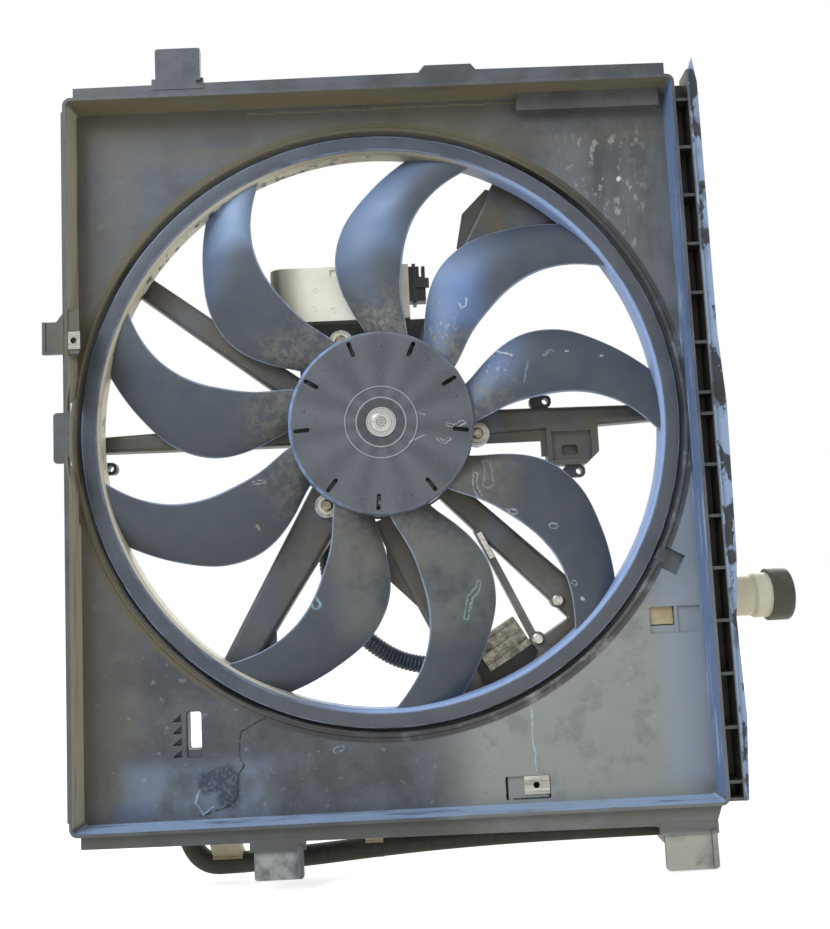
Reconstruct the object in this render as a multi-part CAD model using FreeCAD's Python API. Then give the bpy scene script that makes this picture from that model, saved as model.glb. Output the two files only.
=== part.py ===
"""Radiator cooling fan of a car: moulded shroud, ringed wheel, motor, controllers and coolant tank.

Millimetres. X points right and Z up as the fan is seen from the radiator side, and Y points away from the
radiator, towards the engine. The origin is on the fan axis, in the plane where the rim meets the radiator.
"""

import FreeCAD
import Part
import math
import os

Vec = FreeCAD.Vector
ORIGIN = Vec(0, 0, 0)
REARWARD = Vec(0, 1, 0)
FORWARD = Vec(0, -1, 0)
RIGHT = Vec(1, 0, 0)
UP = Vec(0, 0, 1)

# General clearances and walls
FIT = 0.05            # gap between pieces that sit on or in each other
SEAT = 0.3            # gap between neighbouring pieces that only lie against each other
WALL = 2.5            # moulded wall of the shroud
RUN = 0.03            # radial running clearance of the shaft

# Tray of the shroud
TRAY_LEFT = -243.0
TRAY_RIGHT = 248.0
TRAY_BOTTOM = -304.0
TRAY_TOP = 270.0
TRAY_DEPTH = 25.0
TRAY_DRAFT = 1.5
TRAY_CORNER = 4.0
FLANGE_FRONT = 4.0    # depth at which the outer flanges leave the walls
TOP_FLANGE = 12.0
BOTTOM_FLANGE = 15.0
SIDE_FLANGE = 5.0
FLANGE_INSET = 5.0    # how far the flanges stop short of the tray's corners

# Locating tabs, centre along X, width, and reach beyond the flange
TOP_TAB = (-152.5, 37.0, 31.0)
LEFT_TAB = (-90.5, 37.0, 26.0)
RIGHT_TAB = (219.5, 39.0, 31.0)
TAB_RIB = 4.0
TAB_RIB_RISE = 3.0

# Screw lug on the left wall and its clip nut, and the nut in the lower window
HOOK_EDGE = -234.0
HOOK_FRONT = 1.0
HOOK_NUT_WIDTH = 8.6
HOOK_NUT_HEIGHT = 72.5
HOOK_RIM = 1.0
TONGUE_EDGE = 117.5
WINDOW_NUT_WIDTH = 19.0
WINDOW_NUT_HEIGHT = -289.5
CLIP_NUT_LENGTH = 14.0
CLIP_LEAF = 0.8
CLIP_COLLAR = 3.6
CLIP_REACH = 4.0

# Ladder strip down the right side
CELL_WIDTH = 11.0
CELL_DEPTH = 19.0
CELL_PITCH = 40.3
CELL_TOP = 251.0
UPPER_RIBS = 7
LOWER_RIBS = 8
CELL_RIB = 2.4
SHORT_RIB = -7.8      # first rib of the lower row, after a short cell
EDGE_REACH = 8.0      # flange beyond the strip's outer wall
EDGE_TIP = 15.0       # pointed tip above the tray's top

# Ring opening and barrel
BARREL_IN = 245.0
BARREL_REAR = 52.0
LIP_RISE = 1.0
BARREL_FLANGE_IN = 232.0
STRUT_TIP = BARREL_FLANGE_IN + 6.0

# Motor can, which sizes the carrier, the ears and everything inside it
CAN_RADIUS = 57.0
CAN_WALL = 2.5

# Struts and motor carrier, behind the wheel
STRUT_FRONT = 50.3
STRUT_DEPTH = 15.7
STRUT_CORNER = 4.0
CARRIER_IN = CAN_RADIUS + 5.0
CARRIER_OUT = CARRIER_IN + 14.0
CARRIER_THICK = 4.0
STRUT_ROOT = CARRIER_OUT - 4.0
EAR_CIRCLE = CAN_RADIUS + 22.2
EAR_RADIUS = 10.0
EAR_ANGLES = (113.0, 233.0, 353.0)
BOSS_RADIUS = 9.0
BOSS_LENGTH = 15.0
# Each strut: inner radius and angle, outer radius and angle, inner width, outer width
STRUTS = (
    (STRUT_ROOT, 0.5, STRUT_TIP - 2.0, 0.8, 22.0, 13.0),
    (STRUT_ROOT, 55.0, STRUT_TIP, 56.0, 30.0, 62.0),
    (STRUT_ROOT, 155.0, STRUT_TIP - 2.0, 146.4, 22.0, 19.0),
    (STRUT_ROOT, 181.5, STRUT_TIP - 2.0, 181.0, 20.0, 13.0),
    (STRUT_ROOT, 231.5, STRUT_TIP, 236.6, 36.0, 24.0),
    (STRUT_ROOT, 276.0, STRUT_TIP, 287.0, 40.0, 16.0),
    (STRUT_ROOT, 314.0, STRUT_TIP, 315.0, 20.0, 26.0),
)

WEB_SETBACK = 4.0     # strut webs behind the struts' front
# Corners of the thin webs beside the right, upper right, bottom and lower left struts
STRUT_WEBS = (
    ((84.0, -4.0), (140.0, -4.0), (140.0, -30.0), (131.5, -30.0), (131.5, -17.0), (86.0, -17.0)),
    ((112.0, 198.0), (97.0, 202.0), (76.0, 181.0), (70.0, 152.0), (80.0, 128.0), (100.0, 140.0)),
    ((108.0, 115.5), (166.0, 166.5), (158.0, 180.0), (110.0, 130.0)),
    ((-2.0, -90.0), (1.0, -127.0), (28.0, -154.0), (50.0, -166.0), (50.0, -140.0), (30.0, -90.0)),
    ((-93.0, -160.0), (-93.0, -220.0), (-124.0, -203.0)),
)

# Windows in the floor: slot, side window and the one of the lower nut (x0, x1, z0, z1), and their backs
SLOT_WINDOW = (-162.0, -149.5, -256.0, -220.0)
SIDE_WINDOW = (205.0, 245.5, -178.0, -157.0)
NUT_WINDOW = (84.0, 119.0, -300.0, -282.0)
SLEEVE_DEPTH = 12.0
SLEEVE_FOOT = 6.0
POCKET_DEPTH = 17.0
WINDOW_RIB = 224.8

# Fan wheel
HUB_RADIUS = 75.0
HUB_FRONT = 21.5
HUB_REAR = 42.0
HUB_WALL = 3.0
HUB_CORNER = 3.5
HUB_RIDGES = (20.0, 29.0)
RIDGE_WIDTH = 1.2
RIDGE_RISE = 0.7
BOSS_OUT = 18.0
SLOT_IN = 57.5
SLOT_OUT = 70.8
SLOT_WIDTH = 3.6
SLOT_ANGLES = (29.1, 65.5, 110.0, 148.8, 183.7, 230.0, 265.8, 306.1, 352.3)
BLADE_ANGLES = (19.1, 56.1, 92.1, 137.7, 177.0, 213.2, 258.6, 293.8, 333.6)
BLADE_THICK = 2.4
BLADE_EDGE = 1.2
BLADE_CAMBER = 3.6
# Blade stations: share of the span, sweep angle, chord, depth of the leading and of the trailing edge
BLADE_STATIONS = (
    (0.0, -8.5, 33.0, 26.5, 40.0),
    (0.17, -1.9, 43.0, 25.9, 40.3),
    (0.38, 0.0, 55.5, 25.5, 40.5),
    (0.60, -3.0, 58.7, 25.8, 40.5),
    (0.81, -9.6, 54.5, 27.0, 40.3),
    (1.0, -17.0, 54.0, 29.5, 40.0),
)
RING_IN = 226.0
RING_WALL = 2.5
RING_FRONT = 25.5
RING_REAR = 42.0
RING_FLANGE = 13.0
RING_CURL = 5.5
RING_ROUND = 4.0

# Motor
SHAFT_RADIUS = 4.0
SHAFT_FRONT = 17.6
CAN_FRONT = 31.0
CAN_REAR = 100.0
CAN_CHAMFER = 4.0
END_CAP_THICK = 3.0
BEARING_OUT = 9.0
BEARING_WIDTH = 7.0
BEARING_CUP_WALL = 3.0
PLATE_THICK = 3.0
PLATE_OUT = CAN_RADIUS + 9.0
MAGNET_THICK = 7.5
MAGNET_ANGLE = 74.0
MAGNET_COUNT = 4
MAGNET_AIR = 1.15     # air between magnets and core
CORE_RADIUS = CAN_RADIUS - CAN_WALL - MAGNET_THICK - MAGNET_AIR
CORE_FRONT = 50.0
CORE_LENGTH = 26.0
CORE_SLOTS = 12
CORE_SLOT_WIDTH = 6.0
CORE_SLOT_DEPTH = 16.0
WINDING_IN = CORE_RADIUS - 21.8
WINDING_OUT = CORE_RADIUS - 3.8
WINDING_HEIGHT = 6.0
COMMUTATOR_RADIUS = 12.0
COMMUTATOR_FRONT = 80.5
COMMUTATOR_LENGTH = 9.5
BRUSH_LENGTH = 14.0
BRUSH_WIDTH = 6.0
BRUSH_HEIGHT = 6.0
SPRING_RADIUS = 2.2
SPRING_LENGTH = 9.0
HOLDER_THICK = 1.6

# Drive disc and retaining nut on the nose of the shaft
DISC_RADIUS = 12.0
DISC_FRONT = 20.2
NUT_RADIUS = 7.5
NUT_FRONT = 18.6

# Motor fixings
WASHER_RADIUS = 7.4
WASHER_THICK = 1.1
SCREW_RADIUS = 2.5
SCREW_HEAD_RADIUS = 4.8
SCREW_HEAD_HEIGHT = 2.1
ISOLATOR_RADIUS = 6.4
ISOLATOR_FLANGE = 7.2
ISOLATOR_LIP = 1.4
SLEEVE_WALL = 0.6

# Upper fan controller, an aluminium housing on a plate above the motor
CONTROL_LEFT = -90.0
CONTROL_RIGHT = 28.0
CONTROL_BOTTOM = 93.0
CONTROL_TOP = 139.5
CONTROL_FRONT = 54.0
CONTROL_DEPTH = 14.0
CONTROL_CORNER = 12.0
CONTROL_LEGS = (-58.0, 12.0)
CONTROL_LEG_WIDTH = 14.0
CONTROL_BOLT_HEIGHT = 124.0
FIN_COUNT = 7
FIN_THICK = 2.0
FIN_HEIGHT = 8.0
FIN_GAP = 5.2
PLUG_WIDTH = 14.0
PLUG_HEIGHT = 30.0

# Lower right module and its frame
FRAME_WIDTH = 6.0
FRAME_DEPTH = 12.0
FRAME_BOSSES = ((119.0, -179.0), (137.0, -149.0))
MODULE_CENTRE = (90.0, -182.0)
MODULE_LENGTH = 40.0
MODULE_HEIGHT = 26.0
MODULE_DEPTH = 14.0
MODULE_TURN = 31.0
MODULE_RIBS = 3
SCREEN_POST = (124.0, -190.0)
# Corners of the screen behind the module
MODULE_SCREEN = (
    (50.0, -198.0), (75.0, -194.0), (112.0, -182.0), (133.0, -173.0), (157.0, -171.0), (160.0, -178.0),
    (134.0, -199.0), (102.0, -217.0), (68.0, -230.0), (44.0, -235.0),
)

# Coolant tank, filler neck and cap
TANK_WALL = 3.0
TANK_FRONT = 34.0
TANK_DEPTH = 56.0
TANK_RIGHT = 270.0
TANK_TOP = -104.0
TANK_LEFT = 176.0
TANK_BOTTOM = -300.0
TANK_ROUND = 8.0
NECK_HEIGHT = -152.5
NECK_DEPTH = 60.0
NECK_RADIUS = 18.3
NECK_ROOT_RADIUS = 16.4
NECK_STEP = 296.0
NECK_FLARE = 3.0
NECK_BORE = 14.0
NECK_END = 323.5
NECK_COLLAR = 2.5
CAP_RADIUS = 21.2
CAP_LENGTH = 18.0
CAP_WALL = 2.5
CAP_ROUND = 3.5
CAP_THREAD_ROOM = 0.3
SEAL_THICK = 2.0
SUMP_LEFT = 206.0
SUMP_RIGHT = 232.0
SUMP_LOW = -340.0
OUTLET_HEIGHT = -328.0
OUTLET_LENGTH = 14.0
POST_RADIUS = 7.0

# Hose under the bottom flange and the conduit behind the wheel
HOSE_RADIUS = 8.0
HOSE_WALL = 2.2
HOSE_DEPTH = 45.0
HOSE_END_X = -169.0
HOSE_LOW = -341.0
SPIGOT_TOP = -290.0
SPIGOT_NOSE = -308.0
HOSE_POINTS = (
    (SUMP_LEFT - SEAT, OUTLET_HEIGHT), (150.0, OUTLET_HEIGHT), (80.0, -328.9), (10.0, -331.6),
    (-56.0, -336.6), (-112.0, -340.4), (HOSE_END_X, HOSE_LOW), (HOSE_END_X, SPIGOT_TOP - SEAT),
)
HOSE_CLIPS = ((-134.5, 23.0), (-20.0, 14.0), (110.0, 14.0))
CLIP_WALL = 2.0
CONDUIT_RADIUS = 7.5
CONDUIT_DEPTH = 77.0
PLUG_LEFT = 70.0
GROMMET_ANGLE = 236.0
GROMMET_DEPTH = 88.0
GROMMET_RADIUS = 9.0
GROMMET_LENGTH = 7.0


# Basic shapes

def box(x0, x1, y0, y1, z0, z1):
    """Block between two corners."""
    return Part.makeBox(x1 - x0, y1 - y0, z1 - z0, Vec(x0, y0, z0))


def rod(radius, y0, y1, x=0.0, z=0.0):
    """Solid cylinder along Y."""
    return Part.makeCylinder(radius, y1 - y0, Vec(x, y0, z), REARWARD)


def pipe(outer, inner, y0, y1, x=0.0, z=0.0):
    """Hollow cylinder along Y."""
    return rod(outer, y0, y1, x, z).cut(rod(inner, y0 - 1, y1 + 1, x, z))


def polar(radius, degrees):
    """Point in the XZ plane, angle from +X towards +Z."""
    angle = math.radians(degrees)
    return radius * math.cos(angle), radius * math.sin(angle)


def about_axis(shape, degrees):
    """Copy turned about the fan axis, from +X towards +Z."""
    turned_copy = shape.copy()
    turned_copy.rotate(ORIGIN, FORWARD, degrees)
    return turned_copy


def outline(points, depth=0.0):
    """Closed straight-sided wire in the XZ plane."""
    corners = [Vec(x, depth, z) for x, z in points]
    return Part.makePolygon(corners + corners[:1])


def plate(points, y0, y1, corner=0.0):
    """Flat plate of the given outline, with its corners rounded where asked."""
    solid = Part.Face(outline(points, y0)).extrude(Vec(0, y1 - y0, 0))
    if corner > 0:
        upright = [e for e in solid.Edges if abs(e.tangentAt(e.FirstParameter).y) > 0.99]
        solid = solid.makeFillet(corner, upright)
    return solid


def rectangle(x0, x1, z0, z1):
    """Corner points of an upright rectangle."""
    return ((x0, z0), (x1, z0), (x1, z1), (x0, z1))


def bar(start, end, width, y0, y1):
    """Straight bar of the given width between two points of the XZ plane."""
    length = math.hypot(end[0] - start[0], end[1] - start[1])
    side_x = -(end[1] - start[1]) / length * width / 2
    side_z = (end[0] - start[0]) / length * width / 2
    points = (
        (start[0] - side_x, start[1] - side_z), (end[0] - side_x, end[1] - side_z),
        (end[0] + side_x, end[1] + side_z), (start[0] + side_x, start[1] + side_z),
    )
    return plate(points, y0, y1)


def turned(steps):
    """Body of revolution about the fan axis. A step is a corner (r, y) or an arc (middle, end)."""
    edges = []
    here = steps[0]
    for step in steps[1:] + steps[:1]:
        if isinstance(step[0], tuple):
            middle, end = step
            edges.append(Part.Arc(flat(here), flat(middle), flat(end)).toShape())
            here = end
        elif step != here:
            edges.append(Part.LineSegment(flat(here), flat(step)).toShape())
            here = step
    return Part.Face(Part.Wire(edges)).revolve(ORIGIN, REARWARD, 360)


def flat(point):
    """Profile point (r, y) as a vector of the XY plane."""
    return Vec(point[0], point[1], 0)


def round_middle(centre, radius, degrees):
    """Middle point of a profile arc."""
    angle = math.radians(degrees)
    return centre[0] + radius * math.cos(angle), centre[1] + radius * math.sin(angle)


def joined(shapes):
    """One solid of several that touch or overlap."""
    return shapes[0].multiFuse(shapes[1:]).removeSplitter()


def group(shapes):
    """Separate solids of one node."""
    return Part.makeCompound(shapes)


def rounded_rectangle(x0, x1, z0, z1, corner, depth):
    """Closed wire of a rectangle with round corners, in the plane y = depth."""
    edges = []
    centres = ((x1 - corner, z1 - corner, 0), (x0 + corner, z1 - corner, 90),
               (x0 + corner, z0 + corner, 180), (x1 - corner, z0 + corner, 270))
    ends = []
    for cx, cz, start in centres:
        arc_points = []
        for degrees in (start, start + 45, start + 90):
            px, pz = polar(corner, degrees)
            arc_points.append(Vec(cx + px, depth, cz + pz))
        edges.append(Part.Arc(*arc_points).toShape())
        ends.append((arc_points[0], arc_points[2]))
    wire_edges = []
    for index in range(4):
        wire_edges.append(edges[index])
        wire_edges.append(Part.LineSegment(ends[index][1], ends[(index + 1) % 4][0]).toShape())
    return Part.Wire(wire_edges)


def drafted_block(grow, front, rear):
    """Block of the tray's outline, grown all round, that narrows towards the rear by the draft."""
    rings = []
    for depth in (front, rear):
        shrink = TRAY_DRAFT * depth / TRAY_DEPTH - grow
        rings.append(rounded_rectangle(TRAY_LEFT + shrink, TRAY_RIGHT - shrink, TRAY_BOTTOM + shrink,
                                       TRAY_TOP - shrink, TRAY_CORNER + grow, depth))
    return Part.makeLoft(rings, True, True)


# Shroud

def tray():
    """Open box with drafted walls and the round opening in its floor."""
    shell = drafted_block(WALL, 0.0, TRAY_DEPTH + WALL)
    shell = shell.cut(drafted_block(0.0, -1.0, TRAY_DEPTH))
    return shell.cut(rod(BARREL_IN + 1, -5, TRAY_DEPTH + 10))


def barrel():
    """Lip, tube and inward rear flange around the wheel."""
    out = BARREL_IN + WALL
    lip = TRAY_DEPTH - LIP_RISE
    return turned((
        (BARREL_IN, lip + 1), (BARREL_IN + 1, lip), (out, lip), (out + 2.5, lip + 2.5),
        (out + 2.5, TRAY_DEPTH + WALL), (out, TRAY_DEPTH + WALL + 2), (out, BARREL_REAR),
        (BARREL_FLANGE_IN, BARREL_REAR), (BARREL_FLANGE_IN, BARREL_REAR - WALL),
        (BARREL_IN, BARREL_REAR - WALL),
    ))


def gusset(angle):
    """Triangular rib behind the floor, against the barrel, at one angle."""
    corners = (Vec(BARREL_IN + 1, TRAY_DEPTH + 1, -1.25), Vec(BARREL_IN + 13, TRAY_DEPTH + 1, -1.25),
               Vec(BARREL_IN + 1, BARREL_REAR - 4, -1.25))
    face = Part.Face(Part.makePolygon(corners + corners[:1]))
    return about_axis(face.extrude(Vec(0, 0, 2.5)), angle)


def strut_section(width, distance):
    """Channel section open to the rear, in the plane square to the spoke."""
    half = width / 2
    front = STRUT_FRONT
    rear = STRUT_FRONT + STRUT_DEPTH
    r = STRUT_CORNER
    bend = r * (1 - math.sqrt(0.5))

    def at(t, y):
        return Vec(distance, y, t)

    edges = [
        Part.LineSegment(at(-half, rear), at(-half, front + r)).toShape(),
        Part.Arc(at(-half, front + r), at(-half + bend, front + bend), at(-half + r, front)).toShape(),
        Part.LineSegment(at(-half + r, front), at(half - r, front)).toShape(),
        Part.Arc(at(half - r, front), at(half - bend, front + bend), at(half, front + r)).toShape(),
        Part.LineSegment(at(half, front + r), at(half, rear)).toShape(),
        Part.LineSegment(at(half, rear), at(half - WALL, rear)).toShape(),
        Part.LineSegment(at(half - WALL, rear), at(half - WALL, front + WALL + 1)).toShape(),
        Part.LineSegment(at(half - WALL, front + WALL + 1), at(-half + WALL, front + WALL + 1)).toShape(),
        Part.LineSegment(at(-half + WALL, front + WALL + 1), at(-half + WALL, rear)).toShape(),
        Part.LineSegment(at(-half + WALL, rear), at(-half, rear)).toShape(),
    ]
    return Part.Wire(edges)


def strut(inner_r, inner_angle, outer_r, outer_angle, inner_width, outer_width):
    """Tapered channel from the motor carrier to the barrel."""
    x0, z0 = polar(inner_r, inner_angle)
    x1, z1 = polar(outer_r, outer_angle)
    length = math.hypot(x1 - x0, z1 - z0)
    heading = math.degrees(math.atan2(z1 - z0, x1 - x0))
    sections = [strut_section(inner_width, 0.0), strut_section(outer_width, length)]
    beam = Part.makeLoft(sections, True, True)
    beam.rotate(ORIGIN, FORWARD, heading)
    beam.translate(Vec(x0, 0, z0))
    return beam


def strut_webs():
    """Thin plates that widen some struts near the hub and the barrel."""
    y0 = STRUT_FRONT + WEB_SETBACK
    return [plate(corners, y0, y0 + WALL) for corners in STRUT_WEBS]


def carrier():
    """Ring that takes the motor, with a screw boss behind each ear."""
    parts = [pipe(CARRIER_OUT, CARRIER_IN, STRUT_FRONT, STRUT_FRONT + CARRIER_THICK)]
    parts.append(pipe(CARRIER_IN + WALL, CARRIER_IN, STRUT_FRONT, STRUT_FRONT + STRUT_DEPTH))
    for angle in EAR_ANGLES:
        x, z = polar(EAR_CIRCLE, angle)
        parts.append(rod(EAR_RADIUS, STRUT_FRONT, STRUT_FRONT + CARRIER_THICK, x, z))
        parts.append(rod(BOSS_RADIUS, STRUT_FRONT, STRUT_FRONT + BOSS_LENGTH, x, z))
    return parts


def screw_holes():
    """Pilot holes for the three motor screws."""
    holes = []
    for angle in EAR_ANGLES:
        x, z = polar(EAR_CIRCLE, angle)
        holes.append(rod(SCREW_RADIUS + FIT, STRUT_FRONT - 1, STRUT_FRONT + BOSS_LENGTH + 1, x, z))
    return holes


def outer_flanges():
    """Flat flanges outside the tray's walls, with the bump on the top one."""
    top = TRAY_TOP + TOP_FLANGE
    bottom = TRAY_BOTTOM - BOTTOM_FLANGE
    left = TRAY_LEFT + FLANGE_INSET
    y0 = FLANGE_FRONT
    y1 = FLANGE_FRONT + WALL
    return [
        plate(((left, TRAY_TOP), (TRAY_RIGHT - 4, TRAY_TOP), (TRAY_RIGHT - 4, top + 2), (90, top + 3),
               (86, top + 8), (48, top + 8), (43, top + 2), (left, top)), y0, y1),
        plate(((left, TRAY_BOTTOM), (TRAY_RIGHT - 2, TRAY_BOTTOM), (TRAY_RIGHT - 9, bottom - 4),
               (199, bottom - 4), (194, bottom - 1), (left, bottom + 3)), y0, y1),
        plate(((TRAY_LEFT, TRAY_BOTTOM + 4), (TRAY_LEFT, TRAY_TOP - 4), (TRAY_LEFT - SIDE_FLANGE, TRAY_TOP - 8),
               (TRAY_LEFT - SIDE_FLANGE, TRAY_BOTTOM + 8)), y0, y1),
        plate(rectangle(TRAY_LEFT - 13, TRAY_LEFT, -24, 16), y0, y1, 3.0),
        box(left, TRAY_RIGHT - 4, y1, TRAY_DEPTH - 4, TRAY_TOP + 4, TRAY_TOP + 6),
    ]


def tab(place, root, direction):
    """Locating tab with a raised rib on its right edge. Direction is +1 upwards and -1 downwards."""
    centre, width, reach = place
    left = centre - width / 2
    right = centre + width / 2
    end = root + direction * reach
    low, high = min(root, end), max(root, end)
    y0 = FLANGE_FRONT
    y1 = FLANGE_FRONT + WALL + 1
    swell_low, swell_high = sorted((root - direction * 4, root + direction * 5))
    return [
        plate(rectangle(left, right, low, high), y0, y1, 2.5),
        box(right - TAB_RIB, right, y0 - TAB_RIB_RISE, y1, low + 2, high - 2),
        box(left - 3, right + 2, y0 - 0.5, y1, swell_low, swell_high),
    ]


def tabs():
    """The three locating tabs."""
    parts = tab(TOP_TAB, TRAY_TOP + TOP_FLANGE, 1)
    parts += tab(LEFT_TAB, TRAY_BOTTOM - BOTTOM_FLANGE, -1)
    parts += tab(RIGHT_TAB, TRAY_BOTTOM - BOTTOM_FLANGE - 3, -1)
    return parts


def hook_bracket():
    """Screw lug on the left wall that carries a clip nut."""
    edge = HOOK_EDGE
    lug = plate(((edge - 29, 62), (edge, 62), (edge, 96), (edge - 12, 96), (edge - 18, 88), (edge - 29, 88)),
                HOOK_FRONT, HOOK_FRONT + WALL, 1.5)
    web = box(TRAY_LEFT - 1.5, TRAY_LEFT + 1, 3.0, TRAY_DEPTH, 62, 65)
    front = HOOK_FRONT - HOOK_RIM
    rims = [
        box(edge - 29, edge - 11, front, HOOK_FRONT + 1, 62, 62 + WALL),
        box(edge - 29, edge - 29 + WALL, front, HOOK_FRONT + 1, 62, 88),
        box(edge - 15, edge - 12, front, HOOK_FRONT + 1, 62, 92),
    ]
    return [lug, web] + rims


def ladder_strip():
    """Row of blind cells outside the right wall, and the edge flange with its pointed tip."""
    inner = TRAY_RIGHT + WALL - 0.5
    outer = inner + CELL_WIDTH
    back = 2.0 + CELL_DEPTH
    low = TRAY_BOTTOM
    high = TRAY_TOP + 2
    parts = [
        box(inner - 2.5, outer + WALL, back, back + WALL, low, high),
        box(outer, outer + WALL, 1.0, back + 1, low, high + 4),
        plate(((outer, low), (outer + 4.5, low), (outer + EDGE_REACH, low + 62), (outer + EDGE_REACH - 2, -168),
               (outer + EDGE_REACH + 2, -120), (outer + EDGE_REACH + 4, 0), (outer + EDGE_REACH + 1, 58),
               (outer + EDGE_REACH + 1, high - 6), (outer + 6, high + EDGE_TIP), (outer, high)), 3.0, 3.0 + WALL),
    ]
    heights = [CELL_TOP - CELL_PITCH * index for index in range(UPPER_RIBS)]
    heights += [SHORT_RIB - CELL_PITCH * index for index in range(LOWER_RIBS)]
    half = CELL_RIB / 2
    for height in heights + [low + half]:
        parts.append(box(inner - 2.5, outer + 1, 2.0, back + 1, height - half, height + half))
    return parts


def corner_features():
    """Step pad under the top wall, and the pockets' backings behind the floor."""
    y = TRAY_DEPTH
    parts = [
        box(123, 241, y - 9, y + 1, TRAY_TOP - 16, TRAY_TOP - 0.5),
        box(-176, -163, y + 1, y + 7, -258, -220),
    ]
    x, z = polar(BARREL_IN + 11, 331.7)
    pocket = box(-12, 12, y + 1, TANK_FRONT - SEAT, -12, 12)
    pocket.rotate(ORIGIN, FORWARD, 331.7)
    pocket.translate(Vec(x, 0, z))
    parts.append(pocket)
    return parts


def louvres():
    """Four small wedge pockets beside the slot."""
    cuts = []
    for index in range(4):
        z = -225.0 - index * 9.0
        wedge = Part.Face(outline(((-173, z - 3.2), (-165.5, z - 3.2), (-165.5, z + 3.2)), TRAY_DEPTH - 1))
        cuts.append(wedge.extrude(Vec(0, 5, 0)))
    return cuts


def floor_windows():
    """Holes cut through the floor and the blind square beside the ring."""
    y0 = TRAY_DEPTH - 1
    y1 = TRAY_DEPTH + WALL + 1
    cuts = [
        plate(rectangle(*SLOT_WINDOW), y0, y1, 2.5),
        plate(rectangle(*SIDE_WINDOW), y0, y1, 1.5),
        plate(rectangle(*NUT_WINDOW), y0, y1, 1.5),
    ]
    x, z = polar(BARREL_IN + 11, 331.7)
    pocket = box(-8.5, 8.5, y0, TANK_FRONT - SEAT - 2, -8.5, 8.5)
    pocket.rotate(ORIGIN, FORWARD, 331.7)
    pocket.translate(Vec(x, 0, z))
    cuts.append(pocket)
    x, z = polar(BARREL_IN + 3, 312)
    notch = box(-4, 4, TRAY_DEPTH - LIP_RISE - 1, TRAY_DEPTH + 1.5, -6, 6)
    notch.rotate(ORIGIN, FORWARD, 312)
    notch.translate(Vec(x, 0, z))
    cuts.append(notch)
    return cuts


def window_backs():
    """Sleeve behind the slot, pocket behind the nut window and part back behind the side window."""
    y0 = TRAY_DEPTH + WALL - 0.5
    x0, x1, z0, z1 = SLOT_WINDOW
    sleeve = box(x0 - 1.5, x1 + 1.5, y0, y0 + SLEEVE_DEPTH, z0 - 1.5, z1 + 1.5)
    hollow = plate(rectangle(x0 + 1.0, x1 - 1.0, z0 + SLEEVE_FOOT, z1 - 1.0), y0 - 1, y0 + SLEEVE_DEPTH + 1, 2.0)
    parts = [sleeve.cut(hollow)]
    x0, x1, z0, z1 = NUT_WINDOW
    pocket = box(x0 - 2, x1 + 2, y0, y0 + POCKET_DEPTH, z0 - 2, z1 + 2)
    parts.append(pocket.cut(box(x0, x1, y0 - 1, y0 + POCKET_DEPTH - 2, z0, z1)))
    x0, x1, z0, z1 = SIDE_WINDOW
    y1 = y0 + WALL
    parts.append(box(WINDOW_RIB, x1 + 1, y0, y1, z0 - 2, z1 + 2))
    parts.append(box(x0 - 2, WINDOW_RIB + 1, y0, y1, z0 - 2, z0 + 6))
    parts.append(box(WINDOW_RIB, WINDOW_RIB + 2.5, TRAY_DEPTH + 0.5, y1, z0 - 1, z1 + 1))
    return parts


def nut_tongue():
    """Tongue behind the lower window that the second clip nut grips."""
    y = TRAY_DEPTH + WALL
    x, z = window_nut_hole()
    tongue = box(88, TONGUE_EDGE, y - 0.5, y - 0.5 + WALL, z - 9.5, z + 8.5)
    rail = box(86, 90, y - 0.5, y - 0.5 + WALL, z - 13.5, z + 11.5)
    return [joined([tongue, rail]).cut(rod(4.2, y - 2, y + 4, x, z))]


def snap_tab():
    """Small tongue over the gap between barrel and wheel."""
    tongue = box(-3, 4, TRAY_DEPTH - LIP_RISE - 1, TRAY_DEPTH, -4.5, 4.5)
    x, z = polar(BARREL_IN + 1, 331.7)
    tongue.rotate(ORIGIN, FORWARD, 331.7)
    tongue.translate(Vec(x, 0, z))
    return [tongue]


def side_bracket():
    """Square cup with a slotted hole, under the right strut."""
    y0 = STRUT_FRONT
    cup = plate(((136, -38), (168, -38), (179, -28), (179, 2), (136, 2)), y0, y0 + STRUT_DEPTH, 2.0)
    cup = cup.cut(box(140, 173, y0 - 1, y0 + 4, -34, -10))
    cup = cup.cut(box(139, 175, y0 + 7, y0 + STRUT_DEPTH + 1, -35, -2))
    cup = joined([cup, box(144, 166, y0 + 6, y0 + 12, -34, -17)])
    slot = plate(rectangle(148, 162, -30, -21), y0, y0 + 10, 3.2)
    return [cup.cut(slot)]


def frame_corners():
    """Corners of the small frame in the lower right, between strut and barrel."""
    return (74.0, -88.0), (120.0, -186.0), (150.0, -168.0)


def module_frame():
    """Rib, foot bar and screw bosses that hold the lower module."""
    top, foot, side = frame_corners()
    y0 = STRUT_FRONT
    y1 = STRUT_FRONT + FRAME_DEPTH
    parts = [
        bar(top, foot, FRAME_WIDTH, y0, y1),
        bar((118.0, -187.5), (156.0, -164.0), 12.0, y0, y1),
        bar((118.0, -191.5), (131.0, -198.0), 14.0, y0, y1),
        bar(side, (140.0, -140.0), FRAME_WIDTH, y0, y1),
    ]
    parts += [rod(6.0, y0 - 1, y1, x, z) for x, z in FRAME_BOSSES]
    return parts


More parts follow.
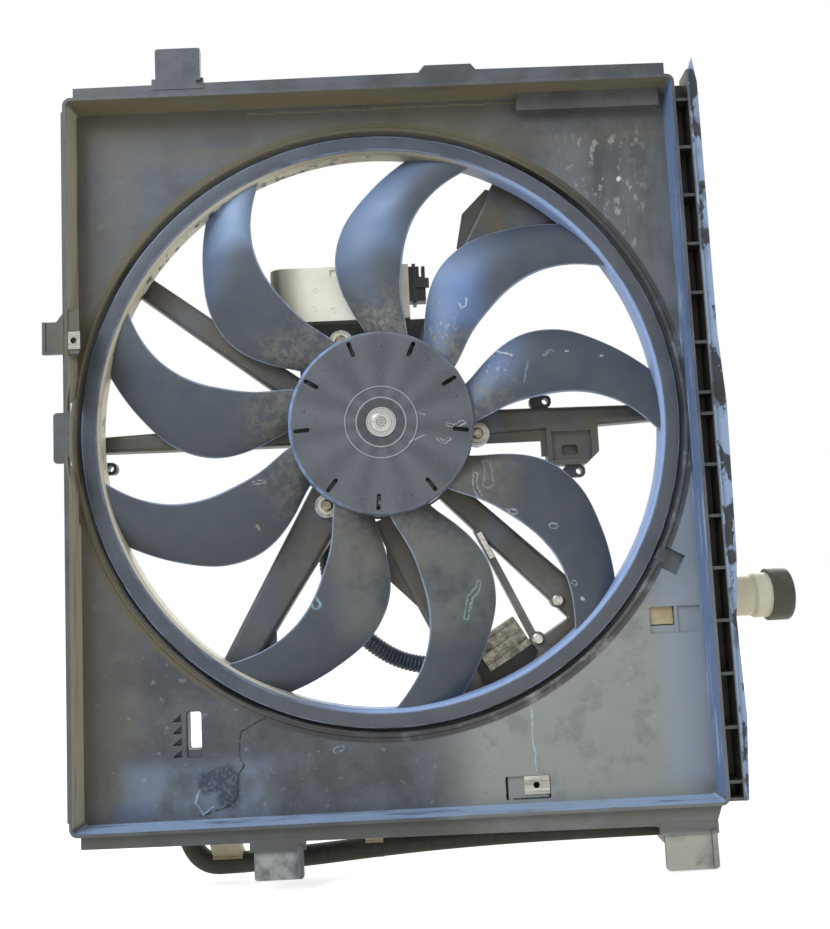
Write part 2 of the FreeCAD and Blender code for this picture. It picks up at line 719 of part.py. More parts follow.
def control_plate():
    """Plate above the carrier that the fan controller is bolted to."""
    y0 = CONTROL_FRONT + CONTROL_DEPTH + FIN_HEIGHT + FIT
    y1 = y0 + WALL
    parts = [plate(((-66, 58), (50, 58), (50, CONTROL_BOTTOM + 4), (-66, CONTROL_BOTTOM + 4)), y0, y1)]
    parts.append(box(-66, 50, STRUT_FRONT + 1, y1, 60, 62.5))
    parts.append(box(-66, -63.5, STRUT_FRONT + 1, y1, 36, CONTROL_BOTTOM - 1))
    parts.append(box(47.5, 50, STRUT_FRONT + 1, y1, 50, CONTROL_BOTTOM - 1))
    for x in CONTROL_LEGS:
        leg = box(x - CONTROL_LEG_WIDTH / 2, x + CONTROL_LEG_WIDTH / 2, y0, y1, 60, CONTROL_BOLT_HEIGHT + 8)
        parts.append(leg)
    return parts


def control_plate_holes():
    """Screw holes in the controller's plate."""
    y0 = CONTROL_FRONT + CONTROL_DEPTH
    return [rod(SCREW_RADIUS + 0.3, y0, y0 + FIN_HEIGHT + 10, x, CONTROL_BOLT_HEIGHT) for x in CONTROL_LEGS]


def tank_lugs():
    """Places of the tank's two fixing screws."""
    return (TANK_RIGHT - 16, TANK_TOP + 14), (TANK_LEFT - 14, TANK_BOTTOM + 12)


def tank_posts():
    """Two bosses behind the strip and the floor that the tank's lugs are screwed to."""
    (ux, uz), (lx, lz) = tank_lugs()
    rear = TANK_FRONT - FIT
    return [rod(POST_RADIUS, 3.0 + CELL_DEPTH, rear, ux, uz), rod(POST_RADIUS, TRAY_DEPTH + 1, rear, lx, lz)]


def module_shelf():
    """Plate behind the lower module, carried by the strut beside it."""
    y0 = STRUT_FRONT + SEAT + MODULE_DEPTH + FIT
    half_z = MODULE_HEIGHT / 2
    shelf = box(-MODULE_LENGTH / 2 - 9, MODULE_LENGTH / 2, 0, WALL, -half_z, half_z)
    shelf.rotate(ORIGIN, FORWARD, MODULE_TURN)
    shelf.translate(Vec(MODULE_CENTRE[0], y0, MODULE_CENTRE[1]))
    screen = plate(MODULE_SCREEN, y0, y0 + WALL)
    return [shelf, screen, rod(5.0, STRUT_FRONT, y0 + WALL, *SCREEN_POST)]


def hose_spigot():
    """Moulded spigot behind the lower left corner that takes the hose's end."""
    x = HOSE_END_X
    base = box(x - 9, x + 9, TRAY_DEPTH + 1, HOSE_DEPTH + 9, SPIGOT_TOP, SPIGOT_TOP + 5)
    nose = Part.makeCylinder(HOSE_RADIUS - HOSE_WALL - FIT, SPIGOT_TOP - SPIGOT_NOSE + 1,
                             Vec(x, HOSE_DEPTH, SPIGOT_NOSE), UP)
    web = box(x - 1.25, x + 1.25, TRAY_DEPTH + 1, HOSE_DEPTH, SPIGOT_TOP + 3, SPIGOT_TOP + 18)
    return [base, nose, web]


def shroud():
    """The whole moulding."""
    parts = [tray(), barrel()]
    parts += [gusset(angle) for angle in range(15, 375, 30)]
    parts += [strut(*values) for values in STRUTS]
    parts += carrier() + strut_webs()
    parts += outer_flanges() + tabs() + hook_bracket() + ladder_strip() + corner_features()
    parts += side_bracket() + module_frame() + module_shelf() + control_plate() + tank_posts() + hose_spigot()
    body = joined(parts)
    cuts = screw_holes() + floor_windows() + louvres() + control_plate_holes()
    cuts += [rod(CARRIER_IN, STRUT_FRONT - 1, BARREL_REAR + 60)]
    cuts += [rod(SCREW_RADIUS + FIT, TRAY_DEPTH + 4, TANK_FRONT + 1, x, z) for x, z in tank_lugs()]
    cuts.append(rod(3.2, -1, HOOK_FRONT + WALL + 1, *hook_hole()))
    cuts += [rod(SCREW_RADIUS + FIT, STRUT_FRONT - 2, STRUT_FRONT + 9, x, z) for x, z in FRAME_BOSSES]
    body = body.cut(cuts)
    return joined([body] + window_backs() + nut_tongue() + snap_tab())


# Clip nuts

def hook_hole():
    """Screw axis of the left lug."""
    return HOOK_EDGE + FIT - HOOK_NUT_WIDTH / 2, HOOK_NUT_HEIGHT


def window_nut_hole():
    """Screw axis of the nut in the lower window."""
    return TONGUE_EDGE + FIT - WINDOW_NUT_WIDTH / 2, WINDOW_NUT_HEIGHT


def clip_nut(x, z, y_plate, plate_thick, width, height):
    """Sheet metal clip that grips a plate from its free right edge, with a screw collar behind."""
    left = x - width / 2
    right = x + width / 2
    low = z - height / 2
    high = z + height / 2
    front_y = y_plate - FIT
    rear_y = y_plate + plate_thick + FIT
    front = box(left, right, front_y - CLIP_LEAF, front_y, low, high)
    rear = box(left, right, rear_y, rear_y + CLIP_LEAF, low, high)
    bend = box(right, right + CLIP_LEAF, front_y - CLIP_LEAF, rear_y + CLIP_LEAF, low, high)
    collar = rod(CLIP_COLLAR, rear_y, rear_y + CLIP_REACH, x, z)
    body = joined([front, rear, bend, collar])
    return body.cut(rod(SCREW_RADIUS, front_y - CLIP_REACH, rear_y + 2 * CLIP_REACH, x, z))


def clip_nuts():
    """The two clip nuts, on the left lug and in the lower window."""
    x, z = hook_hole()
    left = clip_nut(x, z, HOOK_FRONT, WALL, HOOK_NUT_WIDTH, CLIP_NUT_LENGTH)
    x, z = window_nut_hole()
    lower = clip_nut(x, z, TRAY_DEPTH + WALL - 0.5, WALL, WINDOW_NUT_WIDTH, CLIP_NUT_LENGTH)
    return group([left, lower])


# Fan wheel

def blade_station(share, sweep, chord, lead, trail):
    """Closed blade section in the plane square to the spoke at the station's own angle."""
    root = HUB_RADIUS - HUB_WALL + 0.3
    tip = RING_IN + 0.4
    radius = root + (tip - root) * share
    front = []
    rear = []
    for step in range(7):
        s = step / 6
        hump = 4 * s * (1 - s)
        mean = lead + (trail - lead) * s - BLADE_CAMBER * hump
        half = (BLADE_EDGE + (BLADE_THICK - BLADE_EDGE) * hump) / 2
        across = (s - 0.5) * chord
        front.append(Vec(radius, mean - half, across))
        rear.append(Vec(radius, mean + half, across))
    rear.reverse()
    front_curve = Part.BSplineCurve()
    front_curve.interpolate(front)
    rear_curve = Part.BSplineCurve()
    rear_curve.interpolate(rear)
    wire = Part.Wire([
        front_curve.toShape(), Part.LineSegment(front[-1], rear[0]).toShape(),
        rear_curve.toShape(), Part.LineSegment(rear[-1], front[0]).toShape(),
    ])
    wire.rotate(ORIGIN, FORWARD, sweep)
    return wire


def blade():
    """One swept and twisted blade at angle zero."""
    return Part.makeLoft([blade_station(*station) for station in BLADE_STATIONS], True, False)


def hub():
    """Cup of the wheel, with the face ridges and the boss around the drive disc."""
    face = HUB_FRONT + HUB_WALL
    r = HUB_CORNER
    bend = round_middle((HUB_RADIUS - r, HUB_FRONT + r), r, -45)
    steps = [(DISC_RADIUS + FIT, HUB_FRONT + 0.4), (DISC_RADIUS + 1.5, HUB_FRONT)]
    for ridge in HUB_RIDGES:
        steps += [(ridge - RIDGE_WIDTH / 2, HUB_FRONT), (ridge - RIDGE_WIDTH / 4, HUB_FRONT - RIDGE_RISE),
                  (ridge + RIDGE_WIDTH / 4, HUB_FRONT - RIDGE_RISE), (ridge + RIDGE_WIDTH / 2, HUB_FRONT)]
    steps += [
        (HUB_RADIUS - r, HUB_FRONT), (bend, (HUB_RADIUS, HUB_FRONT + r)), (HUB_RADIUS, HUB_REAR),
        (HUB_RADIUS - HUB_WALL, HUB_REAR), (HUB_RADIUS - HUB_WALL, face), (BOSS_OUT, face),
        (BOSS_OUT, face + 4), (DISC_RADIUS + FIT, face + 4),
    ]
    cup = turned(tuple(steps))
    slots = []
    for angle in SLOT_ANGLES:
        slot = plate(rectangle(SLOT_IN, SLOT_OUT, -SLOT_WIDTH / 2, SLOT_WIDTH / 2), HUB_FRONT - 2, face + 1, 1.6)
        slots.append(about_axis(slot, angle))
    return cup.cut(slots)


def ring():
    """Outer ring with its rolled front flange."""
    out = RING_IN + RING_WALL
    edge = out + RING_FLANGE - 0.5
    inner_bend = round_middle((RING_IN + RING_ROUND, RING_FRONT + RING_ROUND), RING_ROUND, 225)
    return turned((
        (RING_IN, RING_REAR), (RING_IN, RING_FRONT + RING_ROUND),
        (inner_bend, (RING_IN + RING_ROUND, RING_FRONT)), (edge - 1, RING_FRONT), (edge, RING_FRONT + 1),
        (edge, RING_FRONT + RING_CURL), (edge - 2, RING_FRONT + RING_CURL), (edge - 2, RING_FRONT + RING_WALL),
        (out + 2, RING_FRONT + RING_WALL), (out, RING_FRONT + RING_WALL + 2), (out, RING_REAR),
    ))


def fan_wheel():
    """Hub, nine unevenly spaced blades and the outer ring, one moulding."""
    single = blade()
    blades = [about_axis(single, angle) for angle in BLADE_ANGLES]
    return joined([hub(), ring()] + blades)


def drive_disc():
    """Metal disc moulded into the hub, with stepped rings round the shaft."""
    rear = HUB_FRONT + HUB_WALL + 4
    bore = SHAFT_RADIUS + RUN
    return turned(((bore, DISC_FRONT + 0.3), (NUT_RADIUS + 0.8, DISC_FRONT + 0.3), (NUT_RADIUS + 1.2, DISC_FRONT),
                   (DISC_RADIUS - 1.2, DISC_FRONT), (DISC_RADIUS - 0.6, DISC_FRONT + 0.6),
                   (DISC_RADIUS, DISC_FRONT + 0.6), (DISC_RADIUS, rear), (bore, rear)))


def retaining_nut():
    """Round nut that holds the disc on the shaft."""
    bore = SHAFT_RADIUS + RUN
    rear = DISC_FRONT + 0.3 - FIT
    return turned(((bore, NUT_FRONT), (NUT_RADIUS - 1.4, NUT_FRONT), (NUT_RADIUS, NUT_FRONT + 0.9),
                   (NUT_RADIUS, rear), (bore, rear)))


# Motor

def shaft():
    """Motor shaft with a chamfered nose and a centre dimple."""
    rear = CAN_REAR - 1.5
    bar_body = turned(((0.0, SHAFT_FRONT), (SHAFT_RADIUS - 0.8, SHAFT_FRONT), (SHAFT_RADIUS, SHAFT_FRONT + 0.8),
                       (SHAFT_RADIUS, rear), (0.0, rear)))
    return bar_body.cut(rod(1.4, SHAFT_FRONT - 1, SHAFT_FRONT + 0.8))


def bearing_cup(y0, y1):
    """Inner and outer radius of a bearing seat, as a short tube."""
    return pipe(BEARING_OUT + FIT + BEARING_CUP_WALL, BEARING_OUT + FIT, y0, y1)


def motor_can():
    """Deep-drawn steel can with the front bearing seat."""
    inner = CAN_RADIUS - CAN_WALL
    hole = BEARING_OUT + FIT
    shell = turned((
        (hole, CAN_FRONT), (CAN_RADIUS - CAN_CHAMFER, CAN_FRONT), (CAN_RADIUS, CAN_FRONT + CAN_CHAMFER),
        (CAN_RADIUS, CAN_REAR), (inner, CAN_REAR), (inner, CAN_FRONT + CAN_CHAMFER),
        (inner - CAN_CHAMFER + 1, CAN_FRONT + CAN_WALL), (hole, CAN_FRONT + CAN_WALL),
    ))
    return joined([shell, bearing_cup(CAN_FRONT, CAN_FRONT + CAN_WALL + BEARING_WIDTH)])


def motor_end_cap():
    """Rear cover with the rear bearing seat."""
    y = CAN_REAR + FIT
    rear = y + END_CAP_THICK
    plate_part = rod(CAN_RADIUS, y, rear)
    seat = bearing_cup(y - BEARING_WIDTH - 1, y + 0.5)
    ridge = pipe(CAN_RADIUS - 14, CAN_RADIUS - 17, rear - 0.5, rear + 1.5)
    return joined([plate_part, seat, ridge])


def bearings():
    """Front and rear bearing of the motor shaft."""
    bore = SHAFT_RADIUS + RUN
    front = CAN_FRONT + CAN_WALL - 0.5
    rear = CAN_REAR - BEARING_WIDTH - 0.5
    return (pipe(BEARING_OUT, bore, front, front + BEARING_WIDTH),
            pipe(BEARING_OUT, bore, rear, rear + BEARING_WIDTH))


def motor_plate():
    """Steel ring round the can with three ears."""
    y1 = STRUT_FRONT - FIT
    y0 = y1 - PLATE_THICK
    parts = [rod(PLATE_OUT, y0, y1)]
    for angle in EAR_ANGLES:
        x, z = polar(EAR_CIRCLE, angle)
        parts.append(rod(EAR_RADIUS, y0, y1, x, z))
        parts.append(bar((0, 0), (x, z), EAR_RADIUS * 1.7, y0, y1))
    cuts = [rod(CAN_RADIUS + FIT, y0 - 1, y1 + 1)]
    for angle in EAR_ANGLES:
        x, z = polar(EAR_CIRCLE, angle)
        cuts.append(rod(ISOLATOR_RADIUS + FIT, y0 - 1, y1 + 1, x, z))
    return joined(parts).cut(cuts)


def magnets():
    """Curved magnets on the wall of the can."""
    outer = CAN_RADIUS - CAN_WALL - FIT
    inner = outer - MAGNET_THICK
    ring_part = pipe(outer, inner, CORE_FRONT - 4, CORE_FRONT + CORE_LENGTH + 4)
    half = MAGNET_ANGLE / 2
    reach = CAN_RADIUS * 1.5
    sector = plate(((0, 0), polar(reach, -half), (reach, 0), polar(reach, half)), 0, CAN_REAR)
    segment = ring_part.common(sector)
    return group([about_axis(segment, 45 + 360 / MAGNET_COUNT * index) for index in range(MAGNET_COUNT)])


def armature_core():
    """Laminated core with slots."""
    y0 = CORE_FRONT
    y1 = CORE_FRONT + CORE_LENGTH
    core = pipe(CORE_RADIUS, SHAFT_RADIUS + RUN, y0, y1)
    cut = box(CORE_RADIUS - CORE_SLOT_DEPTH, CORE_RADIUS + 5, y0 - 1, y1 + 1,
              -CORE_SLOT_WIDTH / 2, CORE_SLOT_WIDTH / 2)
    return core.cut([about_axis(cut, 360 / CORE_SLOTS * index) for index in range(CORE_SLOTS)])


def armature_winding():
    """Copper end turns at both ends of the core, joined by the coil sides in its slots."""
    y0 = CORE_FRONT - SEAT
    y1 = CORE_FRONT + CORE_LENGTH + SEAT
    parts = [pipe(WINDING_OUT, WINDING_IN, y0 - WINDING_HEIGHT, y0)]
    parts.append(pipe(WINDING_OUT, WINDING_IN, y1, y1 + WINDING_HEIGHT - 2))
    coil = box(CORE_RADIUS - CORE_SLOT_DEPTH + 1, WINDING_OUT - 1, y0 - 1, y1 + 1,
               -CORE_SLOT_WIDTH / 2 + 1, CORE_SLOT_WIDTH / 2 - 1)
    parts += [about_axis(coil, 360 / CORE_SLOTS * index) for index in range(CORE_SLOTS)]
    return joined(parts)


def commutator():
    """Copper drum that the brushes run on."""
    return pipe(COMMUTATOR_RADIUS, SHAFT_RADIUS + RUN, COMMUTATOR_FRONT, COMMUTATOR_FRONT + COMMUTATOR_LENGTH)


def brush_middle():
    """Depth of the brushes along the shaft."""
    return COMMUTATOR_FRONT + COMMUTATOR_LENGTH / 2


def brushes():
    """Two carbon brushes on opposite sides of the commutator."""
    y = brush_middle()
    x0 = COMMUTATOR_RADIUS + SEAT
    half_y = BRUSH_HEIGHT / 2
    half_z = BRUSH_WIDTH / 2
    single = box(x0, x0 + BRUSH_LENGTH, y - half_y, y + half_y, -half_z, half_z)
    return group([single, about_axis(single, 180)])


def brush_springs():
    """Springs that press the brushes inwards."""
    x0 = COMMUTATOR_RADIUS + SEAT + BRUSH_LENGTH + FIT
    outer = Part.makeCylinder(SPRING_RADIUS, SPRING_LENGTH, Vec(x0, brush_middle(), 0), RIGHT)
    inner = Part.makeCylinder(SPRING_RADIUS - 0.6, SPRING_LENGTH, Vec(x0, brush_middle(), 0), RIGHT)
    single = outer.cut(inner)
    return group([single, about_axis(single, 180)])


def brush_holder():
    """Ring plate with a box round each brush and spring."""
    y = brush_middle()
    rear = CAN_REAR - BEARING_WIDTH - 1.5
    ring_plate = pipe(CAN_RADIUS - CAN_WALL - 1, BEARING_OUT + BEARING_CUP_WALL + 2, rear, rear + HOLDER_THICK)
    x0 = COMMUTATOR_RADIUS + 3
    x1 = COMMUTATOR_RADIUS + SEAT + BRUSH_LENGTH + 2 * FIT + SPRING_LENGTH
    w = BRUSH_WIDTH / 2 + FIT
    h = BRUSH_HEIGHT / 2 + FIT
    case = box(x0, x1 + HOLDER_THICK, y - h - HOLDER_THICK, rear + 0.5, -w - HOLDER_THICK, w + HOLDER_THICK)
    case = case.cut(box(x0 - 1, x1, y - h, y + h, -w, w))
    return joined([ring_plate, case, about_axis(case, 180)])


def fixing_depths():
    """Depths along Y of the stack on each motor ear: flange, washer and head."""
    ear_front = STRUT_FRONT - FIT - PLATE_THICK
    flange_front = ear_front - FIT - ISOLATOR_LIP
    washer_front = flange_front - FIT - WASHER_THICK
    head_front = washer_front - FIT - SCREW_HEAD_HEIGHT
    return ear_front, flange_front, washer_front, head_front


def at_ears(shape):
    """Copies of one shape, drawn on the fan axis, at the three ears."""
    copies = []
    for angle in EAR_ANGLES:
        x, z = polar(EAR_CIRCLE, angle)
        moved = shape.copy()
        moved.translate(Vec(x, 0, z))
        copies.append(moved)
    return group(copies)


def motor_isolators():
    """Rubber bushes in the ears."""
    ear_front, flange_front, _, _ = fixing_depths()
    bore = SCREW_RADIUS + FIT + SLEEVE_WALL + FIT
    rear = STRUT_FRONT - FIT
    bush = turned(((bore, flange_front), (ISOLATOR_FLANGE, flange_front), (ISOLATOR_FLANGE, ear_front - FIT),
                   (ISOLATOR_RADIUS, ear_front - FIT), (ISOLATOR_RADIUS, rear), (bore, rear)))
    return at_ears(bush)


def motor_sleeves():
    """Steel spacers in the bushes."""
    _, flange_front, _, _ = fixing_depths()
    bore = SCREW_RADIUS + FIT
    return at_ears(pipe(bore + SLEEVE_WALL, bore, flange_front, STRUT_FRONT - FIT))


def motor_washers():
    """Large flat washers over the bushes."""
    _, _, washer_front, _ = fixing_depths()
    return at_ears(pipe(WASHER_RADIUS, SCREW_RADIUS + FIT, washer_front, washer_front + WASHER_THICK))


def cross_recess(radius, y0, depth):
    """Cross-shaped recess of a screw head."""
    half = radius * 0.24
    reach = radius * 0.62
    rear = y0 + depth
    return [box(-reach, reach, y0 - 1, rear, -half, half), box(-half, half, y0 - 1, rear, -reach, reach)]


def pan_screw(head_front, length):
    """Cross-head screw along Y with its head at the front."""
    y1 = head_front + SCREW_HEAD_HEIGHT
    body = turned((
        (0.0, head_front), (SCREW_HEAD_RADIUS - 1.2, head_front), (SCREW_HEAD_RADIUS, head_front + 1.0),
        (SCREW_HEAD_RADIUS, y1), (SCREW_RADIUS, y1), (SCREW_RADIUS, y1 + length), (0.0, y1 + length),
    ))
    return body.cut(cross_recess(SCREW_HEAD_RADIUS, head_front, 1.2))


def motor_screws():
    """Three screws through the ears into the carrier."""
    _, _, washer_front, head_front = fixing_depths()
    reach = STRUT_FRONT + BOSS_LENGTH - 3 - (head_front + SCREW_HEAD_HEIGHT)
    return at_ears(pan_screw(head_front, reach))


# Fan controller above the motor

def controller_housing():
    """Aluminium housing with a rounded left end and cooling fins at the back."""
    y0 = CONTROL_FRONT
    y1 = CONTROL_FRONT + CONTROL_DEPTH
    r = CONTROL_CORNER
    bend = r * (1 - math.sqrt(0.5))
    low = CONTROL_BOTTOM
    wire = Part.Wire([
        Part.LineSegment(Vec(CONTROL_LEFT, y1, low), Vec(CONTROL_LEFT, y0 + r, low)).toShape(),
        Part.Arc(Vec(CONTROL_LEFT, y0 + r, low), Vec(CONTROL_LEFT + bend, y0 + bend, low),
                 Vec(CONTROL_LEFT + r, y0, low)).toShape(),
        Part.LineSegment(Vec(CONTROL_LEFT + r, y0, low), Vec(CONTROL_RIGHT, y0, low)).toShape(),
        Part.LineSegment(Vec(CONTROL_RIGHT, y0, low), Vec(CONTROL_RIGHT, y1, low)).toShape(),
        Part.LineSegment(Vec(CONTROL_RIGHT, y1, low), Vec(CONTROL_LEFT, y1, low)).toShape(),
    ])
    parts = [Part.Face(wire).extrude(Vec(0, 0, CONTROL_TOP - CONTROL_BOTTOM))]
    for index in range(FIN_COUNT):
        z = CONTROL_BOTTOM + 8 + index * (FIN_THICK + FIN_GAP) - 1
        if z + FIN_THICK > CONTROL_TOP - 4:
            break
        fin_rear = y1 + FIN_HEIGHT - 1
        parts.append(box(CONTROL_LEFT + 8, CONTROL_RIGHT - 8, y1 - 0.5, fin_rear, z, z + FIN_THICK))
    for x in CONTROL_LEGS:
        parts.append(rod(6.0, y1 - 0.5, y1 + FIN_HEIGHT, x, CONTROL_BOLT_HEIGHT))
    body = joined(parts)
    rear = y1 + FIN_HEIGHT
    cuts = [rod(SCREW_RADIUS + FIT, y0 + 4, rear + 1, x, CONTROL_BOLT_HEIGHT) for x in CONTROL_LEGS]
    cuts.append(box(-38.5, -34, y0 - 1, y0 + 1.5, 131, 137))
    for x, z in ((-51, 119), (-52, 104), (-36, 102)):
        cuts.append(pipe(2.4, 1.7, y0 - 1, y0 + 0.5, x, z))
    return body.cut(cuts)


def controller_connector():
    """Black plug and socket on the right end of the controller."""
    x0 = CONTROL_RIGHT + FIT
    middle = (CONTROL_BOTTOM + CONTROL_TOP) / 2 + 6
    y0 = CONTROL_FRONT + 1
    body = box(x0, x0 + PLUG_WIDTH, y0, y0 + 12, middle - PLUG_HEIGHT / 2, middle + PLUG_HEIGHT / 2)
    collar = box(x0 + 3, x0 + 6, y0 - 1.5, y0 + 13.5, middle - PLUG_HEIGHT / 2 - 2, middle + PLUG_HEIGHT / 2 + 2)
    latch = box(x0 + 4, x0 + PLUG_WIDTH + 3, y0 - 2.5, y0 + 1, middle - 4, middle + 4)
    groove = box(x0 + 9, x0 + 11, y0 - 3, y0 + 14, middle + 6, middle + PLUG_HEIGHT)
    return joined([body, collar, latch]).cut(groove)


def controller_screws():
    """Two screws from the back through the plate into the controller."""
    rear = CONTROL_FRONT + CONTROL_DEPTH + FIN_HEIGHT + FIT + WALL
    screws = []
    for x in CONTROL_LEGS:
        screw = pan_screw(0.0, 14.0)
        screw.rotate(ORIGIN, UP, 180)
        screw.translate(Vec(x, rear + FIT + SCREW_HEAD_HEIGHT, CONTROL_BOLT_HEIGHT))
        screws.append(screw)
    return group(screws)


# Lower right module

def place_module(shape):
    """Turn a shape drawn about the origin into the module's place."""
    shape.rotate(ORIGIN, FORWARD, MODULE_TURN)
    shape.translate(Vec(MODULE_CENTRE[0], STRUT_FRONT + SEAT, MODULE_CENTRE[1]))
    return shape


def module_block():
    """Ribbed metal block of the resistor module."""
    half_l = MODULE_LENGTH / 2
    half_h = MODULE_HEIGHT / 2
    parts = [box(-half_l, half_l, 3.0, MODULE_DEPTH, -half_h, half_h)]
    pitch = MODULE_HEIGHT / MODULE_RIBS
    for index in range(MODULE_RIBS):
        z = -half_h + pitch * index
        parts.append(box(-half_l, half_l, 0.5, 4.0, z, z + pitch * 0.62))
    return place_module(joined(parts))


def module_screws():
    """Two light screws in the frame's bosses."""
    screws = []
    for x, z in FRAME_BOSSES:
        screw = pan_screw(0.0, 8.0)
        screw.translate(Vec(x, STRUT_FRONT - 1 - FIT - SCREW_HEAD_HEIGHT, z))
        screws.append(screw)
    return group(screws)


# Coolant tank

def tank_profile(inset):
    """Outline of the tank behind the lower right corner, following the barrel at a clearance."""
    r = BARREL_IN + WALL + 3 + 15 + inset
    right = TANK_RIGHT - inset
    top = TANK_TOP - inset
    bottom = TANK_BOTTOM + inset
    left = TANK_LEFT + inset
    upper = Vec(math.sqrt(r * r - top * top), 0, top)
    lower = Vec(left, 0, -math.sqrt(r * r - left * left))
    middle_angle = (math.atan2(upper.z, upper.x) + math.atan2(lower.z, lower.x)) / 2
    middle = Vec(r * math.cos(middle_angle), 0, r * math.sin(middle_angle))
    return Part.Wire([
        Part.Arc(upper, middle, lower).toShape(),
        Part.LineSegment(lower, Vec(left, 0, bottom)).toShape(),
        Part.LineSegment(Vec(left, 0, bottom), Vec(right, 0, bottom)).toShape(),
        Part.LineSegment(Vec(right, 0, bottom), Vec(right, 0, top)).toShape(),
        Part.LineSegment(Vec(right, 0, top), upper).toShape(),
    ])


def tank_block(inset):
    """Solid of the tank's outline, inset all round."""
    face = Part.Face(tank_profile(inset))
    block = face.extrude(Vec(0, TANK_DEPTH - 2 * inset, 0))
    block.translate(Vec(0, TANK_FRONT + inset, 0))
    return block


def along_x(outer, inner, x0, x1):
    """Tube along X on the neck's axis."""
    start = Vec(x0, NECK_DEPTH, NECK_HEIGHT)
    outside = Part.makeCylinder(outer, x1 - x0, start, RIGHT)
    if inner <= 0:
        return outside
    return outside.cut(Part.makeCylinder(inner, x1 - x0 + 2, start - RIGHT, RIGHT))


def coolant_tank():
    """Blow-moulded tank with its lugs and hose outlet, and the hole for the filler neck."""
    outside = tank_block(0.0)
    edges = [e for e in outside.Edges if abs(e.tangentAt(e.FirstParameter).y) > 0.99]
    outside = outside.makeFillet(TANK_ROUND, edges)
    parts = [outside]
    for x, z in tank_lugs():
        parts.append(rod(8.0, TANK_FRONT, TANK_FRONT + 4, x, z))
    (ux, uz), (lx, lz) = tank_lugs()
    parts.append(box(ux - 8, TANK_RIGHT - 6, TANK_FRONT, TANK_FRONT + 4, TANK_TOP - 8, uz))
    parts.append(box(lx, TANK_LEFT + 6, TANK_FRONT, TANK_FRONT + 4, lz - 8, lz + 8))
    x0, _, z0, z1 = SIDE_WINDOW
    parts.append(box(x0 - 1, WINDOW_RIB - 0.8, TRAY_DEPTH + WALL + 0.5, TANK_FRONT + 1, z0 + 7, z1 + 2))
    parts.append(box(SUMP_LEFT, SUMP_RIGHT, TANK_FRONT + 1, HOSE_DEPTH + 12, SUMP_LOW, TANK_BOTTOM + 1))
    outlet_start = Vec(SUMP_LEFT + 1, HOSE_DEPTH, OUTLET_HEIGHT)
    outlet_radius = HOSE_RADIUS - HOSE_WALL - FIT
    parts.append(Part.makeCylinder(outlet_radius, OUTLET_LENGTH + 1, outlet_start, Vec(-1, 0, 0)))
    body = joined(parts)
    cuts = [tank_block(TANK_WALL)]
    cuts.append(along_x(NECK_ROOT_RADIUS + FIT, 0, TANK_RIGHT - 8, TANK_RIGHT + 1))
    cuts.append(box(SUMP_LEFT + TANK_WALL, SUMP_RIGHT - TANK_WALL, TANK_FRONT + 1 + TANK_WALL,
                    HOSE_DEPTH + 12 - TANK_WALL, SUMP_LOW + TANK_WALL, TANK_BOTTOM + 1 + TANK_WALL))
    outlet_end = Vec(SUMP_LEFT + TANK_WALL + 1, HOSE_DEPTH, OUTLET_HEIGHT)
    outlet_bore = HOSE_RADIUS - HOSE_WALL - 1.8
    cuts.append(Part.makeCylinder(outlet_bore, OUTLET_LENGTH + 10, outlet_end, Vec(-1, 0, 0)))
    cuts += [rod(SCREW_RADIUS + 0.3, TANK_FRONT - 1, TANK_FRONT + 6, x, z) for x, z in tank_lugs()]
    return body.cut(cuts)


def filler_neck():
    """Neck fixed in the tank's side, with a collar against the wall and a wider end for the cap."""
    root = along_x(NECK_ROOT_RADIUS, 0, TANK_RIGHT - TANK_WALL, NECK_STEP)
    collar = along_x(NECK_ROOT_RADIUS + NECK_COLLAR, 0, TANK_RIGHT + FIT, TANK_RIGHT + 6)
    step = Vec(NECK_STEP, NECK_DEPTH, NECK_HEIGHT)
    flare = Part.makeCone(NECK_ROOT_RADIUS, NECK_RADIUS, NECK_FLARE, step, RIGHT)
    end = along_x(NECK_RADIUS, 0, NECK_STEP + NECK_FLARE, NECK_END)
    return joined([root, collar, flare, end]).cut(along_x(NECK_BORE, 0, TANK_RIGHT - 8, NECK_END + 1))


def tank_screws():
    """Two screws through the tank's lugs into the shroud."""
    screws = []
    for x, z in tank_lugs():
        screw = pan_screw(0.0, 9.0)
        screw.rotate(ORIGIN, UP, 180)
        screw.translate(Vec(x, TANK_FRONT + 4 + FIT + SCREW_HEAD_HEIGHT, z))
        screws.append(screw)
    return group(screws)


def tank_cap():
    """Screw cap over the neck, with a rounded outer edge."""
    inner = NECK_RADIUS + SEAT + CAP_THREAD_ROOM
    x1 = NECK_END + SEAT + SEAL_THICK + SEAT + CAP_WALL
    outside = along_x(CAP_RADIUS, 0, x1 - CAP_LENGTH, x1)
    rim = [e for e in outside.Edges if e.BoundBox.XMin > x1 - 0.01 and e.BoundBox.ZLength > CAP_RADIUS]
    outside = outside.makeFillet(CAP_ROUND, rim)
    return outside.cut(along_x(inner, 0, x1 - CAP_LENGTH - 1, x1 - CAP_WALL))


def cap_seal():
    """Rubber disc inside the cap."""
    x0 = NECK_END + SEAT
    return along_x(NECK_RADIUS - 0.5, NECK_BORE - 3, x0, x0 + SEAL_THICK)


# Hose and conduit

